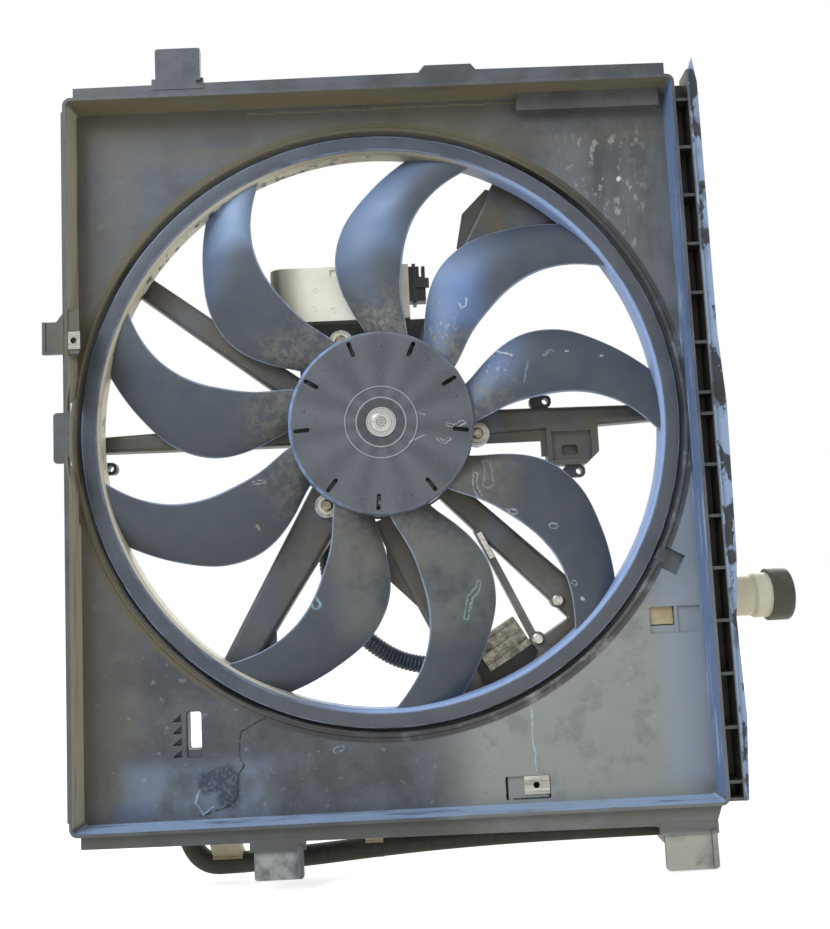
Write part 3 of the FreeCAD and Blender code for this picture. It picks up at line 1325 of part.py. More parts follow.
def cord_path(points, shares=0.45):
    """Straight runs joined by tangent arcs, each as large as its runs allow. Prints the radii."""
    def length_of(a, b):
        return (b - a).Length

    edges = []
    here = points[0]
    radii = []
    for index in range(1, len(points) - 1):
        before, corner, after = points[index - 1], points[index], points[index + 1]
        into = (before - corner).normalize()
        out = (after - corner).normalize()
        turn = math.pi - into.getAngle(out)
        tangent = shares * min(length_of(before, corner), length_of(corner, after))
        radius = tangent / math.tan(turn / 2)
        radii.append(round(radius, 1))
        start = corner + into * tangent
        end = corner + out * tangent
        bisector = (into + out).normalize()
        centre = corner + bisector * (radius / math.cos(turn / 2))
        middle = centre - bisector * radius
        edges.append(Part.LineSegment(here, start).toShape())
        edges.append(Part.Arc(start, middle, end).toShape())
        here = end
    edges.append(Part.LineSegment(here, points[-1]).toShape())
    wire = Part.Wire(edges)
    print("path length", round(wire.Length, 1), "radii", radii)
    return wire


def swept_tube(points, outer, inner):
    """Tube along a path of runs and arcs, hollow where an inner radius is given."""
    path = cord_path(points)
    heading = (points[1] - points[0]).normalize()
    solids = []
    for radius in (outer, inner):
        if radius <= 0:
            continue
        circle = Part.Wire(Part.Circle(points[0], heading, radius).toShape())
        solid = path.makePipeShell([circle], True, False)
        print("volume over section times length", round(solid.Volume / (math.pi * radius ** 2 * path.Length), 4))
        solids.append(solid)
    return solids[0] if len(solids) == 1 else solids[0].cut(solids[1])


def hose_points():
    """Route of the hose, from the tank's outlet to the left end."""
    return [Vec(x, HOSE_DEPTH, z) for x, z in HOSE_POINTS]


def bottom_hose():
    """Rubber hose along the bottom edge."""
    return swept_tube(hose_points(), HOSE_RADIUS, HOSE_RADIUS - HOSE_WALL)


def conduit_points():
    """Route of the corrugated conduit, from the module's plug round to the side of the motor."""
    tip_x, tip_z = polar(CAN_RADIUS + GROMMET_LENGTH + SEAT, GROMMET_ANGLE)
    out_x, out_z = polar(CAN_RADIUS + 34.0, GROMMET_ANGLE)
    return [Vec(x, y, z) for x, y, z in (
        (PLUG_LEFT - FIT, CONDUIT_DEPTH, -199.0), (38.0, CONDUIT_DEPTH, -199.0), (7.0, CONDUIT_DEPTH, -194.0),
        (-20.0, CONDUIT_DEPTH + 1.0, -176.0), (-42.0, CONDUIT_DEPTH + 4.0, -150.0),
        (-52.0, GROMMET_DEPTH - 4.0, -118.0), (out_x, GROMMET_DEPTH, out_z), (tip_x, GROMMET_DEPTH, tip_z))]


def lead_grommet():
    """Rubber grommet where the leads enter the side of the motor."""
    x, z = polar(CAN_RADIUS - 0.5, GROMMET_ANGLE)
    dx, dz = polar(1.0, GROMMET_ANGLE)
    body = Part.makeCylinder(GROMMET_RADIUS, GROMMET_LENGTH + 0.5, Vec(x, GROMMET_DEPTH, z), Vec(dx, 0, dz))
    return body.cut(rod(CAN_RADIUS + FIT, CAN_FRONT, CAN_REAR + 20))


def module_plug():
    """Black plug on the back of the module's shelf, where the conduit ends."""
    y0 = STRUT_FRONT + SEAT + MODULE_DEPTH + FIT + WALL + FIT
    body = box(PLUG_LEFT, PLUG_LEFT + 26, y0, CONDUIT_DEPTH + 10, -207, -187)
    collar = box(PLUG_LEFT + 5, PLUG_LEFT + 8, y0, CONDUIT_DEPTH + 11.5, -208.5, -185.5)
    return joined([body, collar])


def terminal_strip():
    """Bright metal strip on the upper end of the module's frame."""
    y1 = STRUT_FRONT - FIT
    return bar((75.5, -91.0), (85.5, -112.0), 4.2, y1 - 1.3, y1)


def harness_clip(x, z, y0):
    """Plastic fir-tree clip: a rounded head with a loop."""
    head = plate(rectangle(x - 9, x + 9, z - 5, z + 5), y0, y0 + 7, 4.0)
    loop = pipe(4.5, 2.6, y0 + 2, y0 + 10, x + 4, z)
    return joined([head, loop]).cut(rod(2.6, y0 - 1, y0 + 12, x + 4, z))


def harness_clips():
    """Clips on the right strut, its bracket and the barrel."""
    return group([
        harness_clip(133.0, 16.4, STRUT_FRONT + 4),
        harness_clip(158.0, -43.4, STRUT_FRONT + 4),
        harness_clip(-229.0, -24.0, BARREL_REAR + FIT),
    ])


def hose_height(x):
    """Height of the hose's middle line at a place along X."""
    ordered = sorted(HOSE_POINTS[:-1])
    for (x0, z0), (x1, z1) in zip(ordered, ordered[1:]):
        if x0 <= x <= x1:
            return z0 + (z1 - z0) * (x - x0) / (x1 - x0)
    return HOSE_LOW


def hose_clip(x, width):
    """Saddle round the hose with a foot under the tray's bottom wall."""
    z = hose_height(x)
    inner = HOSE_RADIUS + 2 * SEAT
    start = Vec(x - width / 2, HOSE_DEPTH, z)
    saddle = Part.makeCylinder(inner + CLIP_WALL, width, start, RIGHT)
    foot_top = TRAY_BOTTOM - WALL + TRAY_DRAFT * 14.0 / TRAY_DEPTH - SEAT
    arm = Part.Face(Part.makePolygon([
        Vec(x - width / 2, 14.0, foot_top), Vec(x - width / 2, 26.0, foot_top),
        Vec(x - width / 2, HOSE_DEPTH + 2, z + inner + 0.5), Vec(x - width / 2, HOSE_DEPTH - 6, z + inner - 3),
        Vec(x - width / 2, 14.0, foot_top - 4), Vec(x - width / 2, 14.0, foot_top)])).extrude(Vec(width, 0, 0))
    body = joined([saddle, arm])
    bore = Part.makeCylinder(inner, width + 2, start - RIGHT, RIGHT)
    front = box(x - width, x + width, HOSE_DEPTH - 2 * inner, HOSE_DEPTH - 3, z - 2 * inner, z + 5)
    under = box(x - width, x + width, HOSE_DEPTH - 2 * inner, HOSE_DEPTH + 5, z - 2 * inner, z - 3)
    return body.cut([bore, front, under])


def hose_clips():
    """Clips that hold the hose under the tray."""
    return group([hose_clip(x, width) for x, width in HOSE_CLIPS])


def conduit():
    """Conduit that holds the module's leads."""
    return swept_tube(conduit_points(), CONDUIT_RADIUS, 0)


NODES = {
    "shroud": shroud,
    "clip_nuts": clip_nuts,
    "fan_wheel": fan_wheel,
    "drive_disc": drive_disc,
    "retaining_nut": retaining_nut,
    "motor_shaft": shaft,
    "motor_can": motor_can,
    "motor_end_cap": motor_end_cap,
    "front_bearing": lambda: bearings()[0],
    "rear_bearing": lambda: bearings()[1],
    "motor_plate": motor_plate,
    "motor_magnets": magnets,
    "armature_core": armature_core,
    "armature_winding": armature_winding,
    "commutator": commutator,
    "carbon_brushes": brushes,
    "brush_springs": brush_springs,
    "brush_holder": brush_holder,
    "motor_isolators": motor_isolators,
    "motor_sleeves": motor_sleeves,
    "motor_washers": motor_washers,
    "motor_screws": motor_screws,
    "controller_housing": controller_housing,
    "controller_connector": controller_connector,
    "controller_screws": controller_screws,
    "module_block": module_block,
    "module_screws": module_screws,
    "coolant_tank": coolant_tank,
    "filler_neck": filler_neck,
    "tank_screws": tank_screws,
    "tank_cap": tank_cap,
    "cap_seal": cap_seal,
    "bottom_hose": bottom_hose,
    "hose_clips": hose_clips,
    "wiring_conduit": conduit,
    "lead_grommet": lead_grommet,
    "module_plug": module_plug,
    "terminal_strip": terminal_strip,
    "harness_clips": harness_clips,
}


def main():
    """Write every node to its own file."""
    os.makedirs("parts", exist_ok=True)
    for name, build in NODES.items():
        shape = build()
        sound = shape.isValid() and all(solid.isClosed() for solid in shape.Solids)
        state = "ok" if sound else "NOT SOUND"
        print(name, len(shape.Solids), "solids", round(shape.Volume / 1000, 1), "cm3", state)
        shape.exportStep("parts/" + name + ".step")


main()
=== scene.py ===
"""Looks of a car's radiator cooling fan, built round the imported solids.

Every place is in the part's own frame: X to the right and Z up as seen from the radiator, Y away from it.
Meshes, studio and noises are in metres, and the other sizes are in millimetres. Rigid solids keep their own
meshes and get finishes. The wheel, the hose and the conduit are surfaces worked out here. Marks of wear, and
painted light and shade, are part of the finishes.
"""

import logging
import math
from dataclasses import dataclass
from enum import Enum
from functools import partial

import bmesh
import bpy
import numpy as np
from mathutils import Matrix, Vector


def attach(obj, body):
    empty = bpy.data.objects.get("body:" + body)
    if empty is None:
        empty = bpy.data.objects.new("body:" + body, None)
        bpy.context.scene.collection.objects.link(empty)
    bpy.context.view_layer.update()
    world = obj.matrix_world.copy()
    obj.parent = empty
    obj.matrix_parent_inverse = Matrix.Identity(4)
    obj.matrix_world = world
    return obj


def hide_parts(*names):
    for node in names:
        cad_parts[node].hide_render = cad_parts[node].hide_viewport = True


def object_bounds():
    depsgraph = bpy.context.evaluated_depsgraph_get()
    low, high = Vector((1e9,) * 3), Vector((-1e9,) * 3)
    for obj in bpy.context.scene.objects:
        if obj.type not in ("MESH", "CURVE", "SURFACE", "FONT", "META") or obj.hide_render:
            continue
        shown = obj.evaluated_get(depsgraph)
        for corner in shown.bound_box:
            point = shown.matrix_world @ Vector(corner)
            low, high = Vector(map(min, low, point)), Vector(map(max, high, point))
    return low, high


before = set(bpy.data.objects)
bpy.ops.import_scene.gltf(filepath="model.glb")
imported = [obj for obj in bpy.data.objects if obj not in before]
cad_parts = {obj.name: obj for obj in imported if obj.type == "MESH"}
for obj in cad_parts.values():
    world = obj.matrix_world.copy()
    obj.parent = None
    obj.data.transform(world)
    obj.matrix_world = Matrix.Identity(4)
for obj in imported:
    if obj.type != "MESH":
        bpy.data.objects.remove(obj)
CAD_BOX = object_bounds()

LOG = logging.getLogger("radiator_fan")
MM = 0.001
Socket = bpy.types.NodeSocket
Tone = tuple[float, float, float]
Point = tuple[float, float, float]
Pair = tuple[float, float]
Chain = list[Pair]
Faces = list[tuple[int, ...]]
Marks = tuple["Patch | Trace | Band", ...]
Finish = "Plastic | Metal | Rubber | CreamTank | CoverCasting"
BLADE_MAP = "blade_map"
ROUND_STEPS = 288


class Body(str, Enum):
    """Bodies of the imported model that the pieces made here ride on."""

    HOUSING = "housing"
    FAN = "fan"


# Mesh surfaces


def new_object(name: str, verts: np.ndarray, faces: Faces, smooth: bool = True) -> bpy.types.Object:
    """Makes a mesh object at the origin from points and faces.

    Args:
        name: Name of the piece.
        verts: Points in metres, one row each.
        faces: Corner numbers of each face, anticlockwise from outside.
        smooth: Whether the faces are shaded as one surface.

    Returns:
        The linked object.
    """
    mesh = bpy.data.meshes.new(name)
    mesh.from_pydata([tuple(p) for p in np.asarray(verts, dtype=float).tolist()], [], faces)
    mesh.polygons.foreach_set("use_smooth", np.full(len(mesh.polygons), smooth))
    mesh.update()
    obj = bpy.data.objects.new(name, mesh)
    bpy.context.scene.collection.objects.link(obj)
    return obj


def grid_faces(rows: int, columns: int, wrap_rows: bool, wrap_columns: bool, start: int = 0) -> np.ndarray:
    """Corner numbers of the quads of a grid of points.

    Args:
        rows: Points along the first direction.
        columns: Points along the second direction.
        wrap_rows: Whether the last row joins the first.
        wrap_columns: Whether the last column joins the first.
        start: Number of the grid's first point.

    Returns:
        An array with four corner numbers per face.
    """
    i = np.arange(rows if wrap_rows else rows - 1)
    j = np.arange(columns if wrap_columns else columns - 1)
    a, b = np.meshgrid(i, j, indexing="ij")
    a2, b2 = (a + 1) % rows, (b + 1) % columns
    quads = np.stack([a * columns + b, a2 * columns + b, a2 * columns + b2, a * columns + b2], axis=-1)
    return quads.reshape(-1, 4) + start


def soften(obj: bpy.types.Object, degrees: float) -> bpy.types.Object:
    """Marks edges sharper than the angle as sharp, so that the rest shades smoothly."""
    mesh = obj.data
    mesh.polygons.foreach_set("use_smooth", np.ones(len(mesh.polygons), dtype=bool))
    mesh.set_sharp_from_angle(angle=math.radians(degrees))
    return obj


def turned_piece(name: str, profile: Chain) -> bpy.types.Object:
    """Closed body of revolution about the fan axis.

    A profile point (r, y) at angle a lies at (r cos a, y, r sin a).

    Args:
        name: Name of the piece.
        profile: Radius and depth of each profile point, in millimetres.

    Returns:
        The linked object.
    """
    rim = np.asarray(profile) * MM
    angle = np.linspace(0.0, 2 * math.pi, ROUND_STEPS, endpoint=False)[:, None]
    radius, depth = rim[:, 0][None, :], rim[:, 1][None, :]
    x, z = radius * np.cos(angle), radius * np.sin(angle)
    points = np.stack([x, np.broadcast_to(depth, x.shape), z], axis=-1)
    quads = grid_faces(ROUND_STEPS, len(profile), True, True)
    return outward(new_object(name, points.reshape(-1, 3), [tuple(q) for q in quads.tolist()]))


def outward(obj: bpy.types.Object) -> bpy.types.Object:
    """Turns every face of a closed mesh outwards, and merges points that coincide."""
    work = bmesh.new()
    work.from_mesh(obj.data)
    bmesh.ops.remove_doubles(work, verts=work.verts, dist=1e-7)
    bmesh.ops.recalc_face_normals(work, faces=work.faces)
    work.to_mesh(obj.data)
    work.free()
    return obj


def arc(centre: Pair, radius: float, first: float, last: float, steps: int) -> Chain:
    """Profile points on an arc, the angles in degrees."""
    angles = np.radians(np.linspace(first, last, steps))
    return [(centre[0] + radius * math.cos(a), centre[1] + radius * math.sin(a)) for a in angles]


def tube_points(path: np.ndarray, radius: np.ndarray, sides: int) -> np.ndarray:
    """Points of a tube along a path.

    At each path point a circle of the local radius lies square to the path. Its first direction is carried
    along by taking the part of the last one that is square to the new heading, so the tube does not twist.

    Args:
        path: Points of the path in metres.
        radius: Radius at each path point in metres.
        sides: Points round the tube.

    Returns:
        Array of path points by sides by three.
    """
    heading = np.gradient(path, axis=0)
    heading /= np.linalg.norm(heading, axis=1)[:, None]
    side = np.cross(heading[0], (0.0, 0.0, 1.0))
    if np.linalg.norm(side) < 1e-3:
        side = np.cross(heading[0], (1.0, 0.0, 0.0))
    carried = []
    for direction in heading:
        side = side - direction * np.dot(side, direction)
        side = side / np.linalg.norm(side)
        carried.append(side)
    first = np.array(carried)
    second = np.cross(heading, first)
    turn = np.linspace(0.0, 2 * math.pi, sides, endpoint=False)
    ring = np.cos(turn)[None, :, None] * first[:, None, :] + np.sin(turn)[None, :, None] * second[:, None, :]
    return path[:, None, :] + ring * radius[:, None, None]


def capped_tube(name: str, path: np.ndarray, radius: np.ndarray, sides: int) -> bpy.types.Object:
    """Tube with flat closed ends along a path."""
    points = tube_points(path, radius, sides)
    rows = len(path)
    faces = [tuple(q) for q in grid_faces(rows, sides, False, True).tolist()]
    faces.append(tuple(range(sides)))
    faces.append(tuple(range((rows - 1) * sides, rows * sides)))
    return soften(outward(new_object(name, points.reshape(-1, 3), faces)), 60.0)


def spline_path(name: str, points: tuple[Point, ...], steps: int) -> np.ndarray:
    """Points of a smooth cord line, read from its own NURBS spline.

    Args:
        name: Name for the temporary curve.
        points: Control points of the route in millimetres.
        steps: Resolution of each span.

    Returns:
        Points in metres along the line.
    """
    curve = bpy.data.curves.new(name, "CURVE")
    curve.dimensions = "3D"
    spline = curve.splines.new("NURBS")
    spline.points.add(len(points) - 1)
    for point, place in zip(spline.points, points):
        point.co = (place[0] * MM, place[1] * MM, place[2] * MM, 1.0)
    spline.order_u = 3
    spline.use_endpoint_u = True
    spline.resolution_u = steps
    holder = bpy.data.objects.new(name, curve)
    bpy.context.scene.collection.objects.link(holder)
    mesh = bpy.data.meshes.new_from_object(holder.evaluated_get(bpy.context.evaluated_depsgraph_get()))
    line = np.array([tuple(v.co) for v in mesh.vertices])
    bpy.data.objects.remove(holder)
    bpy.data.curves.remove(curve)
    bpy.data.meshes.remove(mesh)
    return line


def even_steps(line: np.ndarray, step: float) -> tuple[np.ndarray, np.ndarray]:
    """Points at even distances along a line, and their distance from its start."""
    run = np.concatenate([[0.0], np.cumsum(np.linalg.norm(np.diff(line, axis=0), axis=1))])
    count = max(int(round(run[-1] / step)), 2)
    along = np.linspace(0.0, run[-1], count + 1)
    return np.stack([np.interp(along, run, line[:, k]) for k in range(3)], axis=1), along


# Node bench for the finishes


class Bench:
    """Builds one node material, with short calls for the nodes that the finishes share."""

    def __init__(self, name: str) -> None:
        """Makes an empty material with a surface shader.

        Args:
            name: Name of the material.
        """
        self.material = bpy.data.materials.new(name)
        self.material.use_nodes = True
        self.tree = self.material.node_tree
        self.shader = self.tree.nodes["Principled BSDF"]
        coordinates = self.tree.nodes.new("ShaderNodeTexCoord")
        self.place = coordinates.outputs["Object"]
        self.normal = coordinates.outputs["Normal"]

    def link(self, value: "Socket | float | Point", socket: Socket) -> None:
        """Links a socket, or sets a plain value, on an input."""
        if isinstance(value, bpy.types.NodeSocket):
            self.tree.links.new(value, socket)
        elif isinstance(value, tuple) and len(value) == 3 and socket.type == "RGBA":
            socket.default_value = (*value, 1.0)
        else:
            socket.default_value = value

    def math(self, operation: str, first: "Socket | float", second: "Socket | float" = 0.0,
             clamp: bool = False) -> Socket:
        """Result of one math node."""
        node = self.tree.nodes.new("ShaderNodeMath")
        node.operation = operation
        node.use_clamp = clamp
        self.link(first, node.inputs[0])
        self.link(second, node.inputs[1])
        return node.outputs[0]

    def mix(self, share: "Socket | float", first: "Socket | Tone", second: "Socket | Tone") -> Socket:
        """Blend of two colours."""
        node = self.tree.nodes.new("ShaderNodeMix")
        node.data_type = "RGBA"
        self.link(share, node.inputs[0])
        self.link(first, node.inputs[6])
        self.link(second, node.inputs[7])
        return node.outputs[2]

    def scaled(self, stretch: Point) -> Socket:
        """Object coordinates stretched along the axes."""
        node = self.tree.nodes.new("ShaderNodeMapping")
        self.tree.links.new(self.place, node.inputs["Vector"])
        node.inputs["Scale"].default_value = stretch
        return node.outputs[0]

    def noise(self, scale: float, detail: float = 4.0, rough: float = 0.6,
              where: "Socket | None" = None) -> Socket:
        """Value of a noise texture, around one half."""
        node = self.tree.nodes.new("ShaderNodeTexNoise")
        node.inputs["Scale"].default_value = scale
        node.inputs["Detail"].default_value = detail
        node.inputs["Roughness"].default_value = rough
        self.tree.links.new(where or self.place, node.inputs["Vector"])
        return node.outputs[0]

    def ramp(self, value: "Socket | float", low: float, high: float, first: float = 0.0,
             last: float = 1.0) -> Socket:
        """Smooth step of a value between two limits."""
        node = self.tree.nodes.new("ShaderNodeMapRange")
        node.interpolation_type = "SMOOTHSTEP"
        self.link(value, node.inputs["Value"])
        for key, number in (("From Min", low), ("From Max", high), ("To Min", first), ("To Max", last)):
            node.inputs[key].default_value = number
        return node.outputs[0]

    def split(self, vector: Socket) -> tuple[Socket, Socket, Socket]:
        """The three parts of a vector."""
        node = self.tree.nodes.new("ShaderNodeSeparateXYZ")
        self.tree.links.new(vector, node.inputs[0])
        return node.outputs[0], node.outputs[1], node.outputs[2]

    def axis_distance(self, x: Socket, z: Socket) -> Socket:
        """Distance from the fan axis, the root of x^2 + z^2."""
        return self.math("SQRT", self.math("ADD", self.math("MULTIPLY", x, x), self.math("MULTIPLY", z, z)))

    def worn_edge(self, radius: float) -> Socket:
        """One near sharp edges, from the difference between the rounded and the flat normal."""
        bevel = self.tree.nodes.new("ShaderNodeBevel")
        bevel.samples = BEVEL_SAMPLES
        bevel.inputs["Radius"].default_value = radius
        geometry = self.tree.nodes.new("ShaderNodeNewGeometry")
        dot = self.tree.nodes.new("ShaderNodeVectorMath")
        dot.operation = "DOT_PRODUCT"
        self.tree.links.new(bevel.outputs[0], dot.inputs[0])
        self.tree.links.new(geometry.outputs["Normal"], dot.inputs[1])
        return self.ramp(self.math("SUBTRACT", 1.0, dot.outputs["Value"]), *EDGE_FADE)

    def cover(self, colour: Socket, tone: str, *shares: "Socket | float") -> Socket:
        """Colour with a screen colour laid over it, by the product of the shares."""
        total = shares[0]
        for share in shares[1:]:
            total = self.math("MULTIPLY", total, share)
        return self.mix(total, colour, tint(tone))

    def bump(self, height: Socket, strength: float, depth: float) -> None:
        """Fine relief of the surface."""
        node = self.tree.nodes.new("ShaderNodeBump")
        node.inputs["Strength"].default_value = strength
        node.inputs["Distance"].default_value = depth
        self.tree.links.new(height, node.inputs["Height"])
        self.tree.links.new(node.outputs[0], self.shader.inputs["Normal"])

    def set(self, **values: "Socket | float | Tone") -> bpy.types.Material:
        """Sets or links inputs of the shader, and returns the material. Underscores stand for spaces."""
        for key, value in values.items():
            self.link(value, self.shader.inputs[key.replace("_", " ")])
        return self.material

    def vector(self, operation: str, first: "Socket | Point", second: "Socket | Point") -> Socket:
        """Result of one vector node: its number for lengths and products, otherwise its vector."""
        node = self.tree.nodes.new("ShaderNodeVectorMath")
        node.operation = operation
        self.link(first, node.inputs[0])
        self.link(second, node.inputs[1])
        number = operation in ("DISTANCE", "DOT_PRODUCT", "LENGTH")
        return node.outputs["Value" if number else "Vector"]

    def inside(self, low: Point, high: Point, fade: float) -> Socket:
        """One inside a box given in millimetres, fading to zero across its faces.

        The largest of the three distances beyond the faces, |p - middle| - half size, is stepped smoothly.
        """
        middle = tuple((a + b) / 2 * MM for a, b in zip(low, high))
        half = tuple((b - a) / 2 * MM for a, b in zip(low, high))
        shifted = self.vector("SUBTRACT", self.place, middle)
        beyond = self.vector("SUBTRACT", self.vector("ABSOLUTE", shifted, (0.0, 0.0, 0.0)), half)
        x, y, z = self.split(beyond)
        largest = self.math("MAXIMUM", self.math("MAXIMUM", x, y), z)
        return self.ramp(largest, -fade * MM, fade * MM, 1.0, 0.0)

    def between(self, value: Socket, low: float, high: float, fade: float) -> Socket:
        """One where a value in metres lies between two limits in millimetres, faded across both."""
        rise = self.ramp(value, (low - fade) * MM, (low + fade) * MM)
        fall = self.ramp(value, (high - fade) * MM, (high + fade) * MM, 1.0, 0.0)
        return self.math("MULTIPLY", rise, fall)

    def line_distance(self, start: Point, end: Point, where: Socket) -> Socket:
        """Distance in metres to a straight line between two points in millimetres.

        The share t = (p - a).(b - a) / |b - a|^2, held between 0 and 1, gives the nearest point,
        a + t (b - a).
        """
        a = tuple(v * MM for v in start)
        span = tuple((v - w) * MM for v, w in zip(end, start))
        square = sum(v * v for v in span)
        offset = self.vector("SUBTRACT", where, a)
        share = self.math("DIVIDE", self.vector("DOT_PRODUCT", offset, span), square, True)
        node = self.tree.nodes.new("ShaderNodeVectorMath")
        node.operation = "SCALE"
        node.inputs[0].default_value = span
        self.link(share, node.inputs["Scale"])
        return self.vector("DISTANCE", offset, node.outputs["Vector"])

    def warped(self, amount: float) -> Socket:
        """Object coordinates pushed about by a noise, so that drawn lines wander."""
        node = self.tree.nodes.new("ShaderNodeTexNoise")
        node.inputs["Scale"].default_value = WANDER_SCALE
        self.tree.links.new(self.place, node.inputs["Vector"])
        centred = self.vector("SUBTRACT", node.outputs["Color"], (0.5, 0.5, 0.5))
        push = self.vector("MULTIPLY", centred, (amount, amount, amount))
        return self.vector("ADD", self.place, push)


def tint(code: str) -> Tone:
    """Linear colour of a hexadecimal screen colour."""
    parts = [int(code[i:i + 2], 16) / 255 for i in (1, 3, 5)]
    linear = [v / 12.92 if v <= 0.04045 else ((v + 0.055) / 1.055) ** 2.4 for v in parts]
    return (linear[0], linear[1], linear[2])


class Facing(Enum):
    """Side of a solid that a tone keeps to, as the direction that its faces look in."""

    ANY = (0.0, 0.0, 0.0)
    UP = (0.0, 0.0, 1.0)
    DOWN = (0.0, 0.0, -1.0)
    RIGHT = (1.0, 0.0, 0.0)
    LEFT = (-1.0, 0.0, 0.0)
    FRONT = (0.0, -1.0, 0.0)


# Finishes

# Limits between which an effect comes in: differences of normals at an edge, and cosines to the side that a
# tone keeps to, to the front for a drawn mark, and to either side of a band's own limit.
EDGE_FADE = (0.03, 0.25)
FACE_FADE = (0.55, 0.85)
FRONT_FADE = (0.4, 0.7)
SIDE_FADE = 0.22
BEVEL_SAMPLES = 4
# Scales per metre of the noises that push drawn marks about and break them up.
WANDER_SCALE = 90.0
SPECKLE_SCALE = 420.0
# Depth in metres of the finest relief.
FINE_RELIEF = 0.0003


@dataclass(frozen=True)
class Patch:
    """Soft-edged region with its own tone, broken up by a noise.

    Fields: tone as a screen colour; low and high corners and fade in millimetres; the side it keeps to; its
    strength; the noise's scale along the three axes per metre; the noise values between which it comes in.
    """

    tone: str
    low: Point
    high: Point
    fade: float
    facing: Facing = Facing.ANY
    share: float = 1.0
    grain: Point = (18.0, 18.0, 18.0)
    window: Pair = (0.3, 0.6)

    def laid_on(self, bench: Bench, colour: Socket) -> Socket:
        """Mixes the tone over a colour.

        Args:
            bench: Material under work.
            colour: Colour so far.

        Returns:
            The colour with the region laid on it.
        """
        mask = bench.inside(self.low, self.high, self.fade)
        if self.facing is not Facing.ANY:
            along = bench.vector("DOT_PRODUCT", bench.normal, self.facing.value)
            mask = bench.math("MULTIPLY", mask, bench.ramp(along, *FACE_FADE))
        noise = bench.noise(1.0, 5.0, 0.62, bench.scaled(self.grain))
        return bench.cover(colour, self.tone, mask, bench.ramp(noise, *self.window), self.share)


@dataclass(frozen=True)
class Trace:
    """Drawn mark along a chain of points, such as a crack, a scratch or a dried run.

    Fields: tone; points and width in millimetres; strength; how far it wanders in metres; whether only its
    outline shows; whether it is drawn straight through in depth, with its points at depth zero, or only on
    faces towards the radiator.
    """

    tone: str
    points: tuple[Point, ...]
    width: float
    share: float
    wander: float
    hollow: bool
    through: bool

    def laid_on(self, bench: Bench, colour: Socket) -> Socket:
        """Mixes the mark over a colour.

        Args:
            bench: Material under work.
            colour: Colour so far.

        Returns:
            The colour with the mark laid on it.
        """
        where = bench.warped(self.wander)
        if self.through:
            where = bench.vector("MULTIPLY", where, (1.0, 0.0, 1.0))
        near: Socket | None = None
        for start, end in zip(self.points, self.points[1:]):
            away = bench.line_distance(start, end, where)
            near = away if near is None else bench.math("MINIMUM", near, away)
        half = self.width * MM / 2
        mask = bench.ramp(near, half * 0.6, half * 1.3, 1.0, 0.0)
        if self.hollow:
            mask = bench.math("MULTIPLY", mask, bench.ramp(near, half * 0.35, half * 0.75))
        if not self.through:
            front = bench.ramp(bench.vector("DOT_PRODUCT", bench.normal, Facing.FRONT.value), *FRONT_FADE)
            mask = bench.math("MULTIPLY", mask, front)
        speckle = bench.ramp(bench.noise(SPECKLE_SCALE, 2.0), 0.36, 0.54, 0.1 if self.hollow else 0.35, 1.0)
        return bench.cover(colour, self.tone, mask, speckle, self.share)


def drawn(tone: str, points: tuple[Pair, ...], width: float, share: float = 1.0, wander: float = 0.004,
          hollow: bool = False, depth: float | None = None) -> Trace:
    """Trace given by its places in the front view.

    Args:
        tone: Screen colour.
        points: X and Z of each point in millimetres.
        width: Width in millimetres.
        share: Strength.
        wander: How far it wanders in metres.
        hollow: Whether only its outline shows.
        depth: Depth of all points in millimetres, or None for a mark drawn straight through the piece.

    Returns:
        The trace.
    """
    level = 0.0 if depth is None else depth
    return Trace(tone, tuple((x, level, z) for x, z in points), width, share, wander, hollow, depth is None)


def region(tone: str, low: Pair, high: Pair, fade: float, share: float, grain: Point, window: Pair,
           facing: Facing = Facing.ANY, depths: Pair = (0.0, 0.0)) -> Patch:
    """Patch given by its place in the front view.

    Args:
        tone: Screen colour.
        low: X and Z of the lower left corner in millimetres.
        high: X and Z of the upper right corner in millimetres.
        fade: Width of its soft edge in millimetres.
        share: Strength.
        grain: Scale of its noise along the three axes per metre.
        window: Values of the noise between which it comes in.
        facing: Side that it keeps to.
        depths: Front and rear depth in millimetres.

    Returns:
        The patch.
    """
    corners = [(x, y, z) for (x, z), y in zip((low, high), depths)]
    return Patch(tone, *corners, fade, facing, share, grain, window)


@dataclass(frozen=True)
class Band:
    """Ring-shaped region about the fan axis with its own tone, on all of the ring or towards one side.

    Fields: tone; inner and outer radius, front and rear depth and fade in millimetres; the side as an angle
    from +X towards +Z in degrees; the cosine at which the band ends on either side of it, below -1 for a
    whole ring; strength; the noise's scale per metre and the values between which it comes in.
    """

    tone: str
    inner: float
    outer: float
    front: float
    rear: float
    fade: float
    side: float = 0.0
    reach: float = -2.0
    share: float = 1.0
    grain: float = 30.0
    window: Pair = (0.0, 0.2)

    def laid_on(self, bench: Bench, colour: Socket) -> Socket:
        """Mixes the tone over a colour.

        Args:
            bench: Material under work.
            colour: Colour so far.

        Returns:
            The colour with the band laid on it.
        """
        x, y, z = bench.split(bench.place)
        radius = bench.axis_distance(x, z)
        mask = bench.between(radius, self.inner, self.outer, self.fade)
        mask = bench.math("MULTIPLY", mask, bench.between(y, self.front, self.rear, self.fade))
        if self.reach > -1.0:
            turn = math.radians(self.side)
            along = bench.vector("DOT_PRODUCT", bench.place, (math.cos(turn), 0.0, math.sin(turn)))
            cosine = bench.math("DIVIDE", along, radius)
            near_side = bench.ramp(cosine, self.reach - SIDE_FADE, self.reach + SIDE_FADE)
            mask = bench.math("MULTIPLY", mask, near_side)
        noise = bench.ramp(bench.noise(self.grain, 5.0, 0.62), *self.window)
        return bench.cover(colour, self.tone, mask, noise, self.share)


